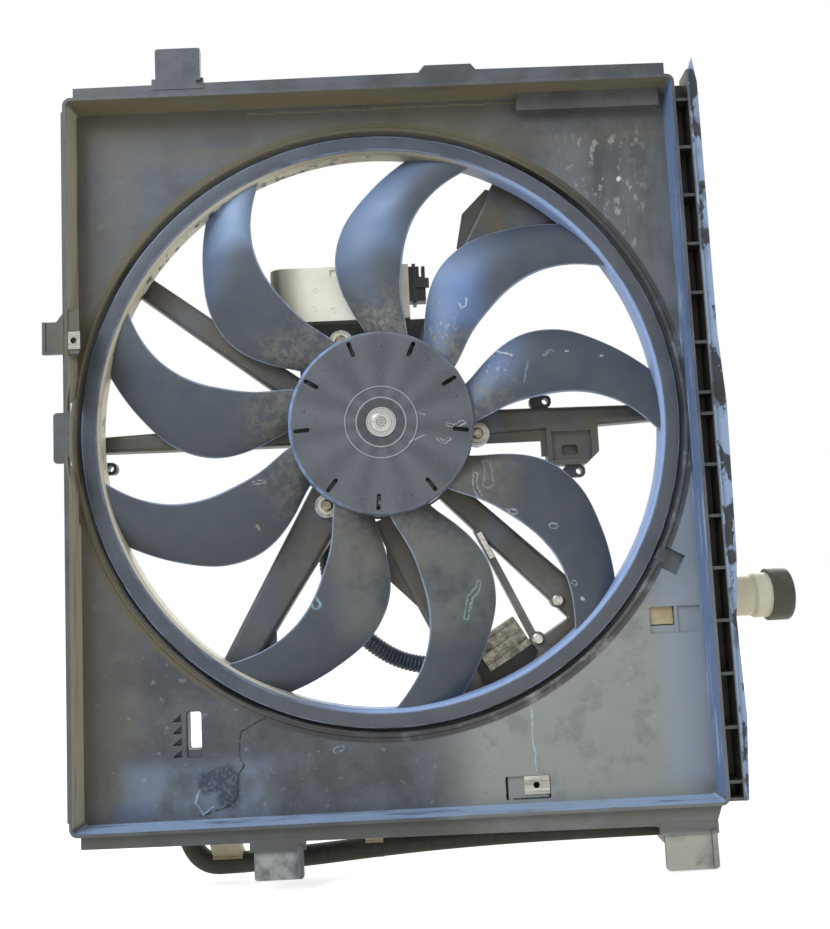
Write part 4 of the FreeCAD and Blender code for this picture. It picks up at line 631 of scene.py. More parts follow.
@dataclass(frozen=True)
class Plastic:
    """Moulded plastic: fine grain, uneven tone, dust on upper sides and in patches, paler worn edges."""

    name: str
    tone: str
    second: str
    dust: str = "#8b8779"
    dusty: float = 0.4
    edge: str = "#8f959c"
    worn: float = 0.45
    rough: Pair = (0.42, 0.62)
    spread: float = 26.0
    edge_width: float = 1.2
    relief: float = 0.12
    patches: Marks = ()

    def material(self) -> bpy.types.Material:
        """Builds the node material."""
        bench = Bench(self.name)
        cloud = bench.noise(self.spread, 6.0, 0.62)
        colour = bench.mix(bench.ramp(cloud, 0.36, 0.64), tint(self.tone), tint(self.second))
        # Laid-on regions: tones and dirt, and on the shroud and the ring also painted light and shade.
        for patch in self.patches:
            colour = patch.laid_on(bench, colour)
        up = bench.ramp(bench.vector("DOT_PRODUCT", bench.normal, Facing.UP.value), -0.2, 0.9, 0.25, 1.0)
        fleck = bench.ramp(bench.noise(self.spread * 4.3, 8.0, 0.7), 0.48, 0.72)
        settled = bench.math("MULTIPLY", bench.math("MULTIPLY", up, fleck), self.dusty, True)
        colour = bench.mix(settled, colour, tint(self.dust))
        chips = bench.ramp(bench.noise(75.0, 5.0), 0.35, 0.65)
        colour = bench.cover(colour, self.edge, bench.worn_edge(self.edge_width * MM), chips, self.worn)
        shine = bench.ramp(bench.math("ADD", cloud, settled), 0.35, 0.9, *self.rough)
        bench.bump(bench.noise(1400.0, 3.0, 0.6), self.relief, 0.0004)
        return bench.set(Base_Color=colour, Roughness=shine)


class Brushing(Enum):
    """Direction of the fine lines that a tool left on a metal."""

    NONE = (240.0, 240.0, 240.0)
    ALONG_X = (30.0, 900.0, 900.0)
    ALONG_Y = (900.0, 30.0, 900.0)
    TURNED = (0.0, 0.0, 0.0)


@dataclass(frozen=True)
class Metal:
    """Bare, plated or cast metal with tool lines, uneven shine and dull stains."""

    name: str
    tone: str
    second: str
    lines: Brushing = Brushing.NONE
    stain: str = "#5b4a38"
    stained: float = 0.3
    rough: Pair = (0.25, 0.5)
    metallic: float = 1.0
    relief: float = 0.15
    ring_scale: float = 900.0

    def material(self) -> bpy.types.Material:
        """Builds the node material."""
        bench = Bench(self.name)
        if self.lines is Brushing.TURNED:
            x, _, z = bench.split(bench.place)
            rings = bench.tree.nodes.new("ShaderNodeCombineXYZ")
            bench.link(bench.math("MULTIPLY", bench.axis_distance(x, z), self.ring_scale), rings.inputs[0])
            fine = bench.noise(1.0, 3.0, 0.6, rings.outputs[0])
        else:
            fine = bench.noise(1.0, 3.0, 0.6, bench.scaled(self.lines.value))
        colour = bench.mix(bench.ramp(fine, 0.3, 0.7), tint(self.tone), tint(self.second))
        spots = bench.ramp(bench.noise(95.0, 7.0, 0.68), 0.5, 0.72)
        spots = bench.math("MULTIPLY", spots, self.stained, True)
        colour = bench.mix(spots, colour, tint(self.stain))
        shine = bench.ramp(bench.math("ADD", fine, spots), 0.3, 0.95, *self.rough)
        bench.bump(fine, self.relief, FINE_RELIEF)
        bench.set(Metallic=self.metallic)
        return bench.set(Base_Color=colour, Roughness=shine)


@dataclass(frozen=True)
class Rubber:
    """Matt rubber with a chalky bloom and fine grit."""

    name: str
    tone: str
    bloom: str
    bloomed: float = 0.4

    def material(self) -> bpy.types.Material:
        """Builds the node material."""
        bench = Bench(self.name)
        cloud = bench.noise(60.0, 6.0, 0.65)
        share = bench.math("MULTIPLY", bench.ramp(cloud, 0.42, 0.7), self.bloomed, True)
        colour = bench.mix(share, tint(self.tone), tint(self.bloom))
        bench.bump(bench.noise(1600.0, 2.0), 0.15, FINE_RELIEF)
        return bench.set(Base_Color=colour, Roughness=bench.ramp(cloud, 0.3, 0.7, 0.62, 0.85))


@dataclass(frozen=True)
class CreamTank:
    """Aged translucent cream plastic, browner on faces that look down, with dark stains."""

    name: str = "tank_cream_plastic"
    tone: str = "#d6cba5"
    browner_tone: str = "#b39f78"
    stain: str = "#7d6a4a"

    def material(self) -> bpy.types.Material:
        """Builds the node material."""
        bench = Bench(self.name)
        cloud = bench.noise(14.0, 5.0, 0.6)
        colour = bench.mix(bench.ramp(cloud, 0.35, 0.65), tint(self.tone), tint(self.browner_tone))
        # Faces that look down take the browner tone.
        under = bench.vector("DOT_PRODUCT", bench.normal, Facing.DOWN.value)
        colour = bench.mix(bench.ramp(under, -0.2, 1.0, 0.0, 0.55), colour, tint(self.browner_tone))
        colour = bench.cover(colour, self.stain, bench.ramp(bench.noise(120.0, 8.0, 0.7), 0.52, 0.75), 0.6)
        bench.bump(bench.noise(900.0, 3.0), 0.06, FINE_RELIEF)
        bench.set(Subsurface_Weight=0.12, Subsurface_Scale=0.006)
        return bench.set(Base_Color=colour, Roughness=bench.ramp(cloud, 0.3, 0.7, 0.32, 0.5))


@dataclass(frozen=True)
class CoverCasting:
    """Pale cast cover with painted shade towards its rounded left end and a painted highlight along its lower
    edge.
    """

    name: str = "controller_cast_aluminium"
    tone: str = "#faf6e6"
    second: str = "#e8e2cf"
    # Colours of the painted shade at the left end and the painted highlight on the lower edge.
    dark: str = "#6b6857"
    edge: str = "#f4f1e4"
    speck: str = "#7b745f"
    lower: float = 93.0
    left: float = -90.0
    round_end: Pair = (8.0, 34.0)
    edge_rise: Pair = (1.2, 2.2)

    def material(self) -> bpy.types.Material:
        """Builds the node material."""
        bench = Bench(self.name)
        x, _, z = bench.split(bench.place)
        cloud = bench.noise(16.0, 4.0, 0.55)
        colour = bench.mix(bench.ramp(cloud, 0.35, 0.7), tint(self.tone), tint(self.second))
        # Painted shade: darker towards the rounded left end.
        start, end = self.round_end
        shade = bench.ramp(x, (self.left + start) * MM, (self.left + end) * MM, 0.85, 0.0)
        colour = bench.mix(shade, colour, tint(self.dark))
        # Painted highlight: a bright line along the lower edge.
        start, end = self.edge_rise
        rim = bench.ramp(z, (self.lower + start) * MM, (self.lower + end) * MM, 0.9, 0.0)
        colour = bench.mix(rim, colour, tint(self.edge))
        colour = bench.cover(colour, self.speck, bench.ramp(bench.noise(240.0, 6.0, 0.7), 0.64, 0.72), 0.5)
        bench.bump(bench.noise(1100.0, 3.0), 0.08, FINE_RELIEF)
        bench.set(Metallic=0.25)
        return bench.set(Base_Color=colour, Roughness=bench.ramp(cloud, 0.3, 0.7, 0.42, 0.55))


@dataclass(frozen=True)
class BladePlastic:
    """Plastic of the wheel, by the blade's own map: dusty root, painted sky sheen and a painted highlight on
    the edges.
    """

    name: str = "wheel_blade_plastic"
    tone: str = "#434a54"
    painted_sheen: str = "#6d86ae"
    root: str = "#77746a"
    trail: str = "#4e535a"
    edge: str = "#93a3ba"
    # Direction of the faces that get the painted sky sheen.
    painted_sky_side: Point = (-0.50, -0.82, 0.28)
    front_edge: Pair = (0.035, 0.012)
    rear_edge: Pair = (0.975, 0.992)
    marks: Marks = ()

    def material(self) -> bpy.types.Material:
        """Builds the node material."""
        bench = Bench(self.name)
        own = bench.tree.nodes.new("ShaderNodeUVMap")
        own.uv_map = BLADE_MAP
        along, across, _ = bench.split(own.outputs[0])
        streaks = bench.noise(1.0, 6.0, 0.6, bench.scaled((34.0, 34.0, 34.0)))
        colour = bench.mix(bench.ramp(streaks, 0.36, 0.66), tint(self.tone), tint(self.trail))
        # Painted sheen: faces turned to the upper left take a bluish sky reflection.
        lit = bench.ramp(bench.vector("DOT_PRODUCT", bench.normal, self.painted_sky_side), 0.88, 0.99)
        colour = bench.cover(colour, self.painted_sheen, lit, 0.55)
        grime = bench.ramp(bench.noise(120.0, 9.0, 0.75), 0.42, 0.62)
        colour = bench.cover(colour, self.root, bench.ramp(along, 0.40, 0.04), grime, 0.8)
        for mark in self.marks:
            colour = mark.laid_on(bench, colour)
        # Painted highlight along the leading and trailing edges, broken by nicks.
        front, rear = bench.ramp(across, *self.front_edge), bench.ramp(across, *self.rear_edge)
        painted_edge_highlight = bench.math("MAXIMUM", front, rear)
        nicks = bench.ramp(bench.noise(60.0, 6.0), 0.3, 0.6, 0.35, 0.95)
        colour = bench.cover(colour, self.edge, painted_edge_highlight, nicks)
        bench.bump(bench.noise(1300.0, 3.0), 0.1, FINE_RELIEF)
        return bench.set(Base_Color=colour, Roughness=bench.ramp(streaks, 0.3, 0.7, 0.36, 0.52))


@dataclass(frozen=True)
class HubPlastic:
    """Hub cap plastic: faint segments where ribs stand behind the face, scratches, and a rubbed rim with a
    painted sky highlight on its left side.
    """

    name: str = "wheel_hub_plastic"
    tone: str = "#53575c"
    second: str = "#676b70"
    side: str = "#6d665a"
    rim: str = "#7d8494"
    # Painted sky highlight colour for the rim's left side.
    sky: str = "#8fb2ea"
    grey: str = "#83848a"
    ribs: float = 11.0
    side_depth: Pair = (24.5, 29.0)
    rim_radius: Pair = (71.5, 73.5)
    rim_depth: Pair = (26.2, 23.5)
    marks: Marks = ()

    def material(self) -> bpy.types.Material:
        """Builds the node material."""
        bench = Bench(self.name)
        x, y, z = bench.split(bench.place)
        angle = bench.math("ARCTAN2", z, x)
        wave = bench.math("SINE", bench.math("MULTIPLY", angle, self.ribs))
        uneven = bench.math("ADD", bench.math("MULTIPLY", wave, 0.22), bench.noise(24.0, 3.0))
        colour = bench.mix(bench.ramp(uneven, 0.1, 0.9), tint(self.tone), tint(self.second))
        cloud = bench.ramp(bench.noise(140.0, 9.0, 0.75), 0.5, 0.72)
        colour = bench.cover(colour, self.grey, cloud, 0.35)
        depth = bench.ramp(y, *(v * MM for v in self.side_depth))
        colour = bench.cover(colour, self.side, depth, cloud)
        outer = bench.ramp(bench.axis_distance(x, z), *(v * MM for v in self.rim_radius))
        band = bench.math("MULTIPLY", outer, bench.ramp(y, *(v * MM for v in self.rim_depth)))
        chips = bench.ramp(bench.noise(95.0, 6.0, 0.7), 0.36, 0.6, 0.15, 0.85)
        # Painted sky highlight: on the left side the rubbed rim takes the sky colour.
        painted_sky_side = bench.ramp(bench.vector("DOT_PRODUCT", bench.place, (-1.0, 0.0, 0.1)), 0.01, 0.06)
        lit = bench.mix(painted_sky_side, tint(self.rim), tint(self.sky))
        colour = bench.mix(bench.math("MULTIPLY", band, chips), colour, lit)
        for mark in self.marks:
            colour = mark.laid_on(bench, colour)
        bench.bump(bench.noise(1300.0, 3.0), 0.1, FINE_RELIEF)
        return bench.set(Base_Color=colour, Roughness=bench.ramp(cloud, 0.0, 1.0, 0.4, 0.58))


# Sub-assemblies


@dataclass
class Studio:
    """Camera at the photograph's viewpoint, soft light, and a pale floor in a white surround."""

    eye: Point = (0.013276, -0.810717, -0.129875)
    pitch: float = 0.1129
    yaw: float = -0.0147
    roll: float = -0.0476
    lens: float = 45.52
    sensor: float = 36.0
    ambient: float = 0.42
    sky: Tone = (1.0, 0.985, 0.955)
    lamps: tuple[tuple[str, Point, float, float, Tone], ...] = (
        ("sky_lamp", (-1.5, -1.7, 1.9), 1.6, 56.0, (0.80, 0.895, 1.0)),
        ("ground_lamp", (1.1, -1.5, -1.0), 1.2, 11.0, (1.0, 0.90, 0.76)),
        ("back_lamp", (0.6, 2.2, 1.2), 1.6, 22.0, (1.0, 0.97, 0.94)))
    floor_gap: float = 0.0015
    floor_size: float = 60.0
    floor_tone: Tone = (0.8, 0.79, 0.77)
    floor_glow: float = 0.72

    def camera(self) -> None:
        """Places the camera.

        It looks along f = (-sin yaw cos pitch, cos yaw cos pitch, sin pitch), and its right and up axes are
        turned about f by the roll.
        """
        f = Vector((-math.sin(self.yaw) * math.cos(self.pitch), math.cos(self.yaw) * math.cos(self.pitch),
                    math.sin(self.pitch)))
        level = f.cross(Vector((0.0, 0.0, 1.0))).normalized()
        rise = level.cross(f)
        right = math.cos(self.roll) * level + math.sin(self.roll) * rise
        up = math.cos(self.roll) * rise - math.sin(self.roll) * level
        data = bpy.data.cameras.new("photo_camera")
        data.lens = self.lens
        data.sensor_width = self.sensor
        data.sensor_fit = "HORIZONTAL"
        obj = bpy.data.objects.new("photo_camera", data)
        axes = Matrix((right, up, -f)).transposed()
        obj.matrix_world = Matrix.Translation(self.eye) @ axes.to_4x4()
        bpy.context.scene.collection.objects.link(obj)
        bpy.context.scene.camera = obj

    def lamp(self, name: str, place: Point, size: float, watts: float, colour: Tone) -> None:
        """Adds a square area lamp that points at the fan."""
        data = bpy.data.lights.new(name, "AREA")
        data.size = size
        data.energy = watts
        data.color = colour
        obj = bpy.data.objects.new(name, data)
        obj.location = place
        obj.rotation_euler = (-Vector(place)).to_track_quat("-Z", "Y").to_euler()
        bpy.context.scene.collection.objects.link(obj)

    def seen(self, tree: bpy.types.NodeTree) -> Socket:
        """One for camera, glossy and transmission rays."""
        path = tree.nodes.new("ShaderNodeLightPath")
        total: Socket | None = None
        for key in ("Is Camera Ray", "Is Glossy Ray", "Is Transmission Ray"):
            if total is None:
                total = path.outputs[key]
                continue
            node = tree.nodes.new("ShaderNodeMath")
            node.operation = "MAXIMUM"
            tree.links.new(total, node.inputs[0])
            tree.links.new(path.outputs[key], node.inputs[1])
            total = node.outputs[0]
        return total

    def surround(self) -> None:
        """White world to the eye and in reflections, and a warm even light on everything else."""
        world = bpy.data.worlds.new("surround")
        world.use_nodes = True
        bpy.context.scene.world = world
        tree = world.node_tree
        light = tree.nodes["Background"]
        light.inputs["Color"].default_value = (*self.sky, 1.0)
        light.inputs["Strength"].default_value = self.ambient
        white = tree.nodes.new("ShaderNodeBackground")
        white.inputs["Color"].default_value = (1.0, 1.0, 1.0, 1.0)
        blend = tree.nodes.new("ShaderNodeMixShader")
        tree.links.new(self.seen(tree), blend.inputs[0])
        tree.links.new(light.outputs[0], blend.inputs[1])
        tree.links.new(white.outputs[0], blend.inputs[2])
        tree.links.new(blend.outputs[0], tree.nodes["World Output"].inputs[0])

    def floor(self) -> None:
        """Pale floor just under the lowest point, which keeps the part's shadow."""
        height = CAD_BOX[0][2] - self.floor_gap
        half = self.floor_size / 2
        corners = ((-half, -half), (half, -half), (half, half), (-half, half))
        verts = np.array([(x, y, height) for x, y in corners])
        obj = new_object("floor", verts, [(0, 1, 2, 3)], False)
        material = bpy.data.materials.new("floor_paint")
        material.use_nodes = True
        tree = material.node_tree
        shader = tree.nodes["Principled BSDF"]
        shader.inputs["Base Color"].default_value = (*self.floor_tone, 1.0)
        shader.inputs["Roughness"].default_value = 0.9
        shader.inputs["Specular IOR Level"].default_value = 0.0
        shader.inputs["Emission Color"].default_value = (1.0, 1.0, 1.0, 1.0)
        node = tree.nodes.new("ShaderNodeMath")
        node.operation = "MULTIPLY"
        tree.links.new(self.seen(tree), node.inputs[0])
        node.inputs[1].default_value = self.floor_glow
        tree.links.new(node.outputs[0], shader.inputs["Emission Strength"])
        obj.data.materials.append(material)

    def build(self) -> None:
        """Sets up the camera, the light and the floor."""
        bpy.context.scene.view_settings.view_transform = "Standard"
        self.camera()
        self.surround()
        for lamp in self.lamps:
            self.lamp(*lamp)
        self.floor()


@dataclass
class FanWheel:
    """Hub, nine unevenly spaced blades and the outer ring, as smooth surfaces."""

    blade_angles: tuple[float, ...] = (19.1, 56.1, 92.1, 137.7, 177.0, 213.2, 258.6, 293.8, 333.6)
    slot_angles: tuple[float, ...] = (29.1, 65.5, 110.0, 148.8, 183.7, 230.0, 265.8, 306.1, 352.3)
    dot_angles: tuple[float, ...] = (17.0, 52.0, 88.0, 134.0, 169.0, 252.0, 290.5)
    stations: tuple[tuple[float, float, float, float, float], ...] = (
        (0.0, -8.5, 33.0, 26.5, 40.0), (0.17, -1.9, 43.0, 25.9, 40.3), (0.38, 0.0, 55.5, 25.5, 40.5),
        (0.60, -3.0, 58.7, 25.8, 40.5), (0.81, -9.6, 54.5, 27.0, 40.3), (1.0, -17.0, 54.0, 29.5, 40.0))
    root: float = 72.3
    tip: float = 226.4
    thick: float = 2.4
    edge: float = 1.2
    edge_share: float = 0.22
    camber: float = 3.6
    ring_in: float = 226.0
    ring_wall: float = 2.5
    ring_front: float = 25.5
    ring_rear: float = 42.0
    flange: float = 13.0
    curl: float = 5.5
    hub_radius: float = 75.0
    hub_front: float = 21.5
    hub_rear: float = 42.0
    hub_wall: float = 3.0
    hub_round: float = 3.5
    disc_radius: float = 12.0
    boss_out: float = 22.0
    boss_rise: float = 4.0
    ridges: Pair = (20.0, 29.0)
    ridge_shape: Point = (0.9, 0.35, 0.65)
    slot_reach: Pair = (57.5, 70.8)
    slot_half: float = 1.8
    pip_circle: float = 63.0
    pip_radius: float = 1.5
    pip_rise: float = 0.45
    rows: int = 56
    columns: int = 72

    def section_values(self, share: np.ndarray) -> np.ndarray:
        """Sweep, chord, leading and trailing depth at shares of the blade's length.

        Each is a cubic through the stations, with the slope at a station taken from its two neighbours.

        Args:
            share: Shares of the length between root and tip.

        Returns:
            Array of four values per share.
        """
        table = np.array(self.stations)
        at, values = table[:, 0], table[:, 1:]
        slope = np.gradient(values, at, axis=0)
        span = np.clip(np.searchsorted(at, share, side="right") - 1, 0, len(at) - 2)
        width = at[span + 1] - at[span]
        t = ((share - at[span]) / width)[:, None]
        width = width[:, None]
        first = (2 * t ** 3 - 3 * t ** 2 + 1) * values[span] + (t ** 3 - 2 * t ** 2 + t) * width * slope[span]
        second = (3 * t ** 2 - 2 * t ** 3) * values[span + 1] + (t ** 3 - t ** 2) * width * slope[span + 1]
        return first + second

    def blade_points(self) -> tuple[np.ndarray, np.ndarray]:
        """Points of one blade along +X, and their own map.

        Round the section the share across is s = (1 - cos a) / 2. The middle line lies at the depth
        lead + (trail - lead) s - camber 4 s (1 - s), and the faces half a thickness off it, rounded at both
        edges.

        Returns:
            Points in millimetres as rows by columns by three, and shares along and across as rows by columns
            by two.
        """
        share = np.linspace(0.0, 1.0, self.rows)
        sweep, chord, lead, trail = (column[:, None] for column in self.section_values(share).T)
        turn = np.linspace(0.0, 2 * math.pi, self.columns, endpoint=False)[None, :]
        s = (1.0 - np.cos(turn)) / 2
        bow = 4 * s * (1 - s)
        half = (self.edge + (self.thick - self.edge) * bow) / 2
        face = np.sign(np.sin(turn)) * np.sqrt(np.clip(np.abs(np.sin(turn)) / self.edge_share, 0.0, 1.0))
        depth = lead + (trail - lead) * s - self.camber * bow - half * face
        across = (s - 0.5) * chord
        radius = np.broadcast_to((self.root + (self.tip - self.root) * share)[:, None], across.shape)
        angle = np.radians(sweep)
        x = radius * np.cos(angle) - across * np.sin(angle)
        z = radius * np.sin(angle) + across * np.cos(angle)
        shares = [np.broadcast_to(value, across.shape) for value in (share[:, None], s)]
        return np.stack([x, depth, z], axis=-1), np.stack(shares, axis=-1)

    def blades(self) -> bpy.types.Object:
        """All nine blades as one mesh with closed ends."""
        points, own = self.blade_points()
        flat = points.reshape(-1, 3)
        count = len(flat)
        side = grid_faces(self.rows, self.columns, False, True)
        verts, faces = [], []
        for number, angle in enumerate(np.radians(self.blade_angles)):
            c, s = math.cos(angle), math.sin(angle)
            turned = flat @ np.array([[c, 0.0, s], [0.0, 1.0, 0.0], [-s, 0.0, c]])
            verts.append(turned * MM)
            start = number * count
            faces += [tuple(q) for q in (side + start).tolist()]
            faces.append(tuple(range(start, start + self.columns)))
            faces.append(tuple(range(start + count - self.columns, start + count)))
        obj = outward(new_object("wheel_blades", np.concatenate(verts), faces))
        self.map_blades(obj, np.tile(own.reshape(-1, 2), (len(self.blade_angles), 1)))
        return soften(obj, 50.0)

    def map_blades(self, obj: bpy.types.Object, own: np.ndarray) -> None:
        """Writes the share along and across the blade as the mesh's own map."""
        layer = obj.data.uv_layers.new(name=BLADE_MAP)
        corner = np.empty(len(obj.data.loops), dtype=np.int32)
        obj.data.loops.foreach_get("vertex_index", corner)
        layer.data.foreach_set("uv", own[corner].astype(np.float32).ravel())

    def ring(self) -> bpy.types.Object:
        """Outer ring with its rolled front flange."""
        out = self.ring_in + self.ring_wall
        edge = out + self.flange - 0.5
        front, wall = self.ring_front, self.ring_wall
        profile: Chain = [(self.ring_in, self.ring_rear)]
        profile += arc((self.ring_in + 4, front + 4), 4.0, 180, 270, 7)
        profile += arc((edge - 1, front + 1), 1.0, 270, 360, 4)
        profile += [(edge, front + self.curl), (edge - 2, front + self.curl), (edge - 2, front + wall)]
        profile += [(out + 2, front + wall), (out, front + wall + 2), (out, self.ring_rear)]
        return soften(turned_piece("wheel_ring", profile), 40.0)

    def hub(self) -> bpy.types.Object:
        """Hub cup with two fine ridges on its face and nine slots near its rim."""
        front, bore, bend = self.hub_front, self.disc_radius + 0.05, self.hub_round
        face = front + self.hub_wall
        boss_end = face + self.boss_rise
        inner = self.hub_radius - self.hub_wall
        profile: Chain = [(bore, boss_end), (bore, front + 0.4), (self.disc_radius + 1.5, front)]
        foot, top, rise = self.ridge_shape
        for ridge in self.ridges:
            profile += [(ridge - foot, front), (ridge - top, front - rise),
                        (ridge + top, front - rise), (ridge + foot, front)]
        profile += arc((self.hub_radius - bend, front + bend), bend, 270, 360, 8)
        profile += [(self.hub_radius, self.hub_rear), (inner, self.hub_rear), (inner, face),
                    (self.boss_out, face), (self.boss_out, boss_end)]
        obj = turned_piece("wheel_hub", profile)
        for angle in self.slot_angles:
            self.cut(obj, self.slot_cutter(angle))
        return soften(obj, 30.0)

    def slot_cutter(self, angle: float) -> bpy.types.Object:
        """Round-ended bar that cuts one slot, at an angle in degrees."""
        inner, outer = self.slot_reach
        half = self.slot_half
        turn = np.linspace(-math.pi / 2, math.pi / 2, 9)
        right = np.stack([outer - half + half * np.cos(turn), half * np.sin(turn)], axis=1)
        left = np.stack([inner + half - half * np.cos(turn), -half * np.sin(turn)], axis=1)
        outline = np.concatenate([right, left])
        a = math.radians(angle)
        x = outline[:, 0] * math.cos(a) - outline[:, 1] * math.sin(a)
        z = outline[:, 0] * math.sin(a) + outline[:, 1] * math.cos(a)
        depths = (self.hub_front - 2, self.hub_front + 4.5)
        levels = [np.stack([x, np.full_like(x, y), z], axis=1) for y in depths]
        count = len(x)
        faces = [tuple(q) for q in grid_faces(2, count, False, True).tolist()]
        faces += [tuple(range(count)), tuple(range(count, 2 * count))]
        return outward(new_object("slot_cutter", np.concatenate(levels) * MM, faces, False))

    def cut(self, obj: bpy.types.Object, tool: bpy.types.Object) -> None:
        """Cuts one mesh out of another and removes the cutter."""
        modifier = obj.modifiers.new("slot", "BOOLEAN")
        modifier.operation = "DIFFERENCE"
        modifier.solver = "EXACT"
        modifier.object = tool
        ready = obj.evaluated_get(bpy.context.evaluated_depsgraph_get())
        mesh = bpy.data.meshes.new_from_object(ready)
        obj.modifiers.clear()
        obj.data = mesh
        bpy.data.objects.remove(tool)

    def dots(self) -> bpy.types.Object:
        """Small moulded pips on the hub's face, each a low dome."""
        rows, sides = 5, 20
        reach = np.linspace(1.0, 0.0, rows)[:, None]
        turn = np.linspace(0.0, 2 * math.pi, sides, endpoint=False)[None, :]
        verts, faces = [], []
        for number, angle in enumerate(np.radians(self.dot_angles)):
            x = self.pip_circle * math.cos(angle) + self.pip_radius * reach * np.cos(turn)
            z = self.pip_circle * math.sin(angle) + self.pip_radius * reach * np.sin(turn)
            y = np.broadcast_to(self.hub_front - self.pip_rise * (1 - reach ** 2), x.shape)
            dome = np.stack([x, y, z], axis=-1).reshape(-1, 3)
            start = number * rows * sides
            verts.append(dome * MM)
            faces += [tuple(q) for q in grid_faces(rows, sides, False, True, start).tolist()]
            faces.append(tuple(range(start, start + sides)))
        return outward(new_object("hub_pips", np.concatenate(verts), faces))

    def build(self) -> list[bpy.types.Object]:
        """Builds the wheel in place of its solid.

        Returns:
            The wheel's pieces.
        """
        blades, ring, hub, dots = self.blades(), self.ring(), self.hub(), self.dots()
        hub_finish = HubPlastic(marks=HUB_WEAR_AND_HIGHLIGHTS).material()
        blades.data.materials.append(BladePlastic(marks=BLADE_WEAR_AND_SHEEN).material())
        ring.data.materials.append(RING_PLASTIC.material())
        hub.data.materials.append(hub_finish)
        dots.data.materials.append(hub_finish)
        for piece in (blades, ring, hub, dots):
            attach(piece, Body.FAN.value)
            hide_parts("fan_wheel")
        return [blades, ring, hub, dots]


@dataclass
class Cords:
    """Corrugated wiring conduit and smooth bottom hose, along the routes of their solids."""

    conduit: tuple[Point, ...] = (
        (69.95, 77.0, -199.0), (38.0, 77.0, -199.0), (7.0, 77.0, -194.0), (-20.0, 78.0, -176.0),
        (-42.0, 81.0, -150.0), (-52.0, 84.0, -118.0), (-50.9, 88.0, -75.4), (-36.0, 88.0, -53.3))
    hose: tuple[Point, ...] = (
        (205.7, 45.0, -328.0), (150.0, 45.0, -328.0), (80.0, 45.0, -328.9), (10.0, 45.0, -331.6),
        (-56.0, 45.0, -336.6), (-112.0, 45.0, -340.4), (-169.0, 45.0, -341.0), (-169.0, 45.0, -290.3))
    conduit_radius: float = 7.5
    hose_radius: float = 8.0
    pitch: float = 3.2
    depth: float = 1.1
    roundness: float = 0.6
    span_steps: int = 24
    hose_step: float = 2.5

    def corrugated(self) -> bpy.types.Object:
        """Conduit whose radius swings between ridge and groove.

        At the distance d along the line the radius is ridge - depth (1 - |cos(pi d / pitch)|^roundness).
        """
        route = spline_path("conduit_line", self.conduit, self.span_steps)
        line, along = even_steps(route, self.pitch / 8 * MM)
        swing = np.abs(np.cos(math.pi * along / (self.pitch * MM))) ** self.roundness
        radius = (self.conduit_radius - self.depth * (1.0 - swing)) * MM
        return capped_tube("conduit_ribs", line, radius, 28)

    def smooth(self) -> bpy.types.Object:
        """Smooth hose."""
        line, _ = even_steps(spline_path("hose_line", self.hose, self.span_steps), self.hose_step * MM)
        return capped_tube("hose_skin", line, np.full(len(line), self.hose_radius * MM), 40)

    def build(self) -> list[bpy.types.Object]:
        """Builds both cords in place of their solids.

        Returns:
            The two pieces.
        """
        conduit, hose = self.corrugated(), self.smooth()
        conduit.data.materials.append(CONDUIT_PLASTIC.material())
        hose.data.materials.append(HOSE_RUBBER.material())
        for piece, node, slot in ((conduit, "wiring_conduit", "conduit_plastic"),
                                  (hose, "bottom_hose", "hose_rubber")):
            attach(piece, Body.HOUSING.value)
            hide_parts(node)
        return [conduit, hose]


@dataclass
class Dresser:
    """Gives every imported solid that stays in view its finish."""

    finishes: dict[str, Finish]

    def dress(self) -> None:
        """Sets one material on each node."""
        for name, finish in self.finishes.items():
            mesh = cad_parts[name].data
            mesh.materials.clear()
            mesh.materials.append(finish.material())
            LOG.info("finish %s on %s", finish.name, name)


# Places that several marks share, in millimetres. For a wall or a strip: low and high corner, fade and side.
# For a ring: inner and outer radius, front and rear depth and fade. For floor and blades: depths.
BOTTOM_WALL = ((-245, -2, -310), (250, 26, -297), 2.0, Facing.UP)
RIGHT_WALL = ((240, -2, -300), (252, 26, 268), 2.0, Facing.LEFT)
OUTER_STRIP = ((262, 0, -306), (285, 8, 290), 1.2, Facing.FRONT)
LIP = (243.0, 252.0, 20.0, 31.0, 0.8)
RING_INSIDE = (225.0, 228.8, 26.0, 43.0, 0.6)
FLOOR_FACE = 25.0
floor_mark = partial(drawn, depth=FLOOR_FACE)
floor_patch = partial(region, depths=(20, 30))
blade_patch = partial(region, depths=(20, 45))

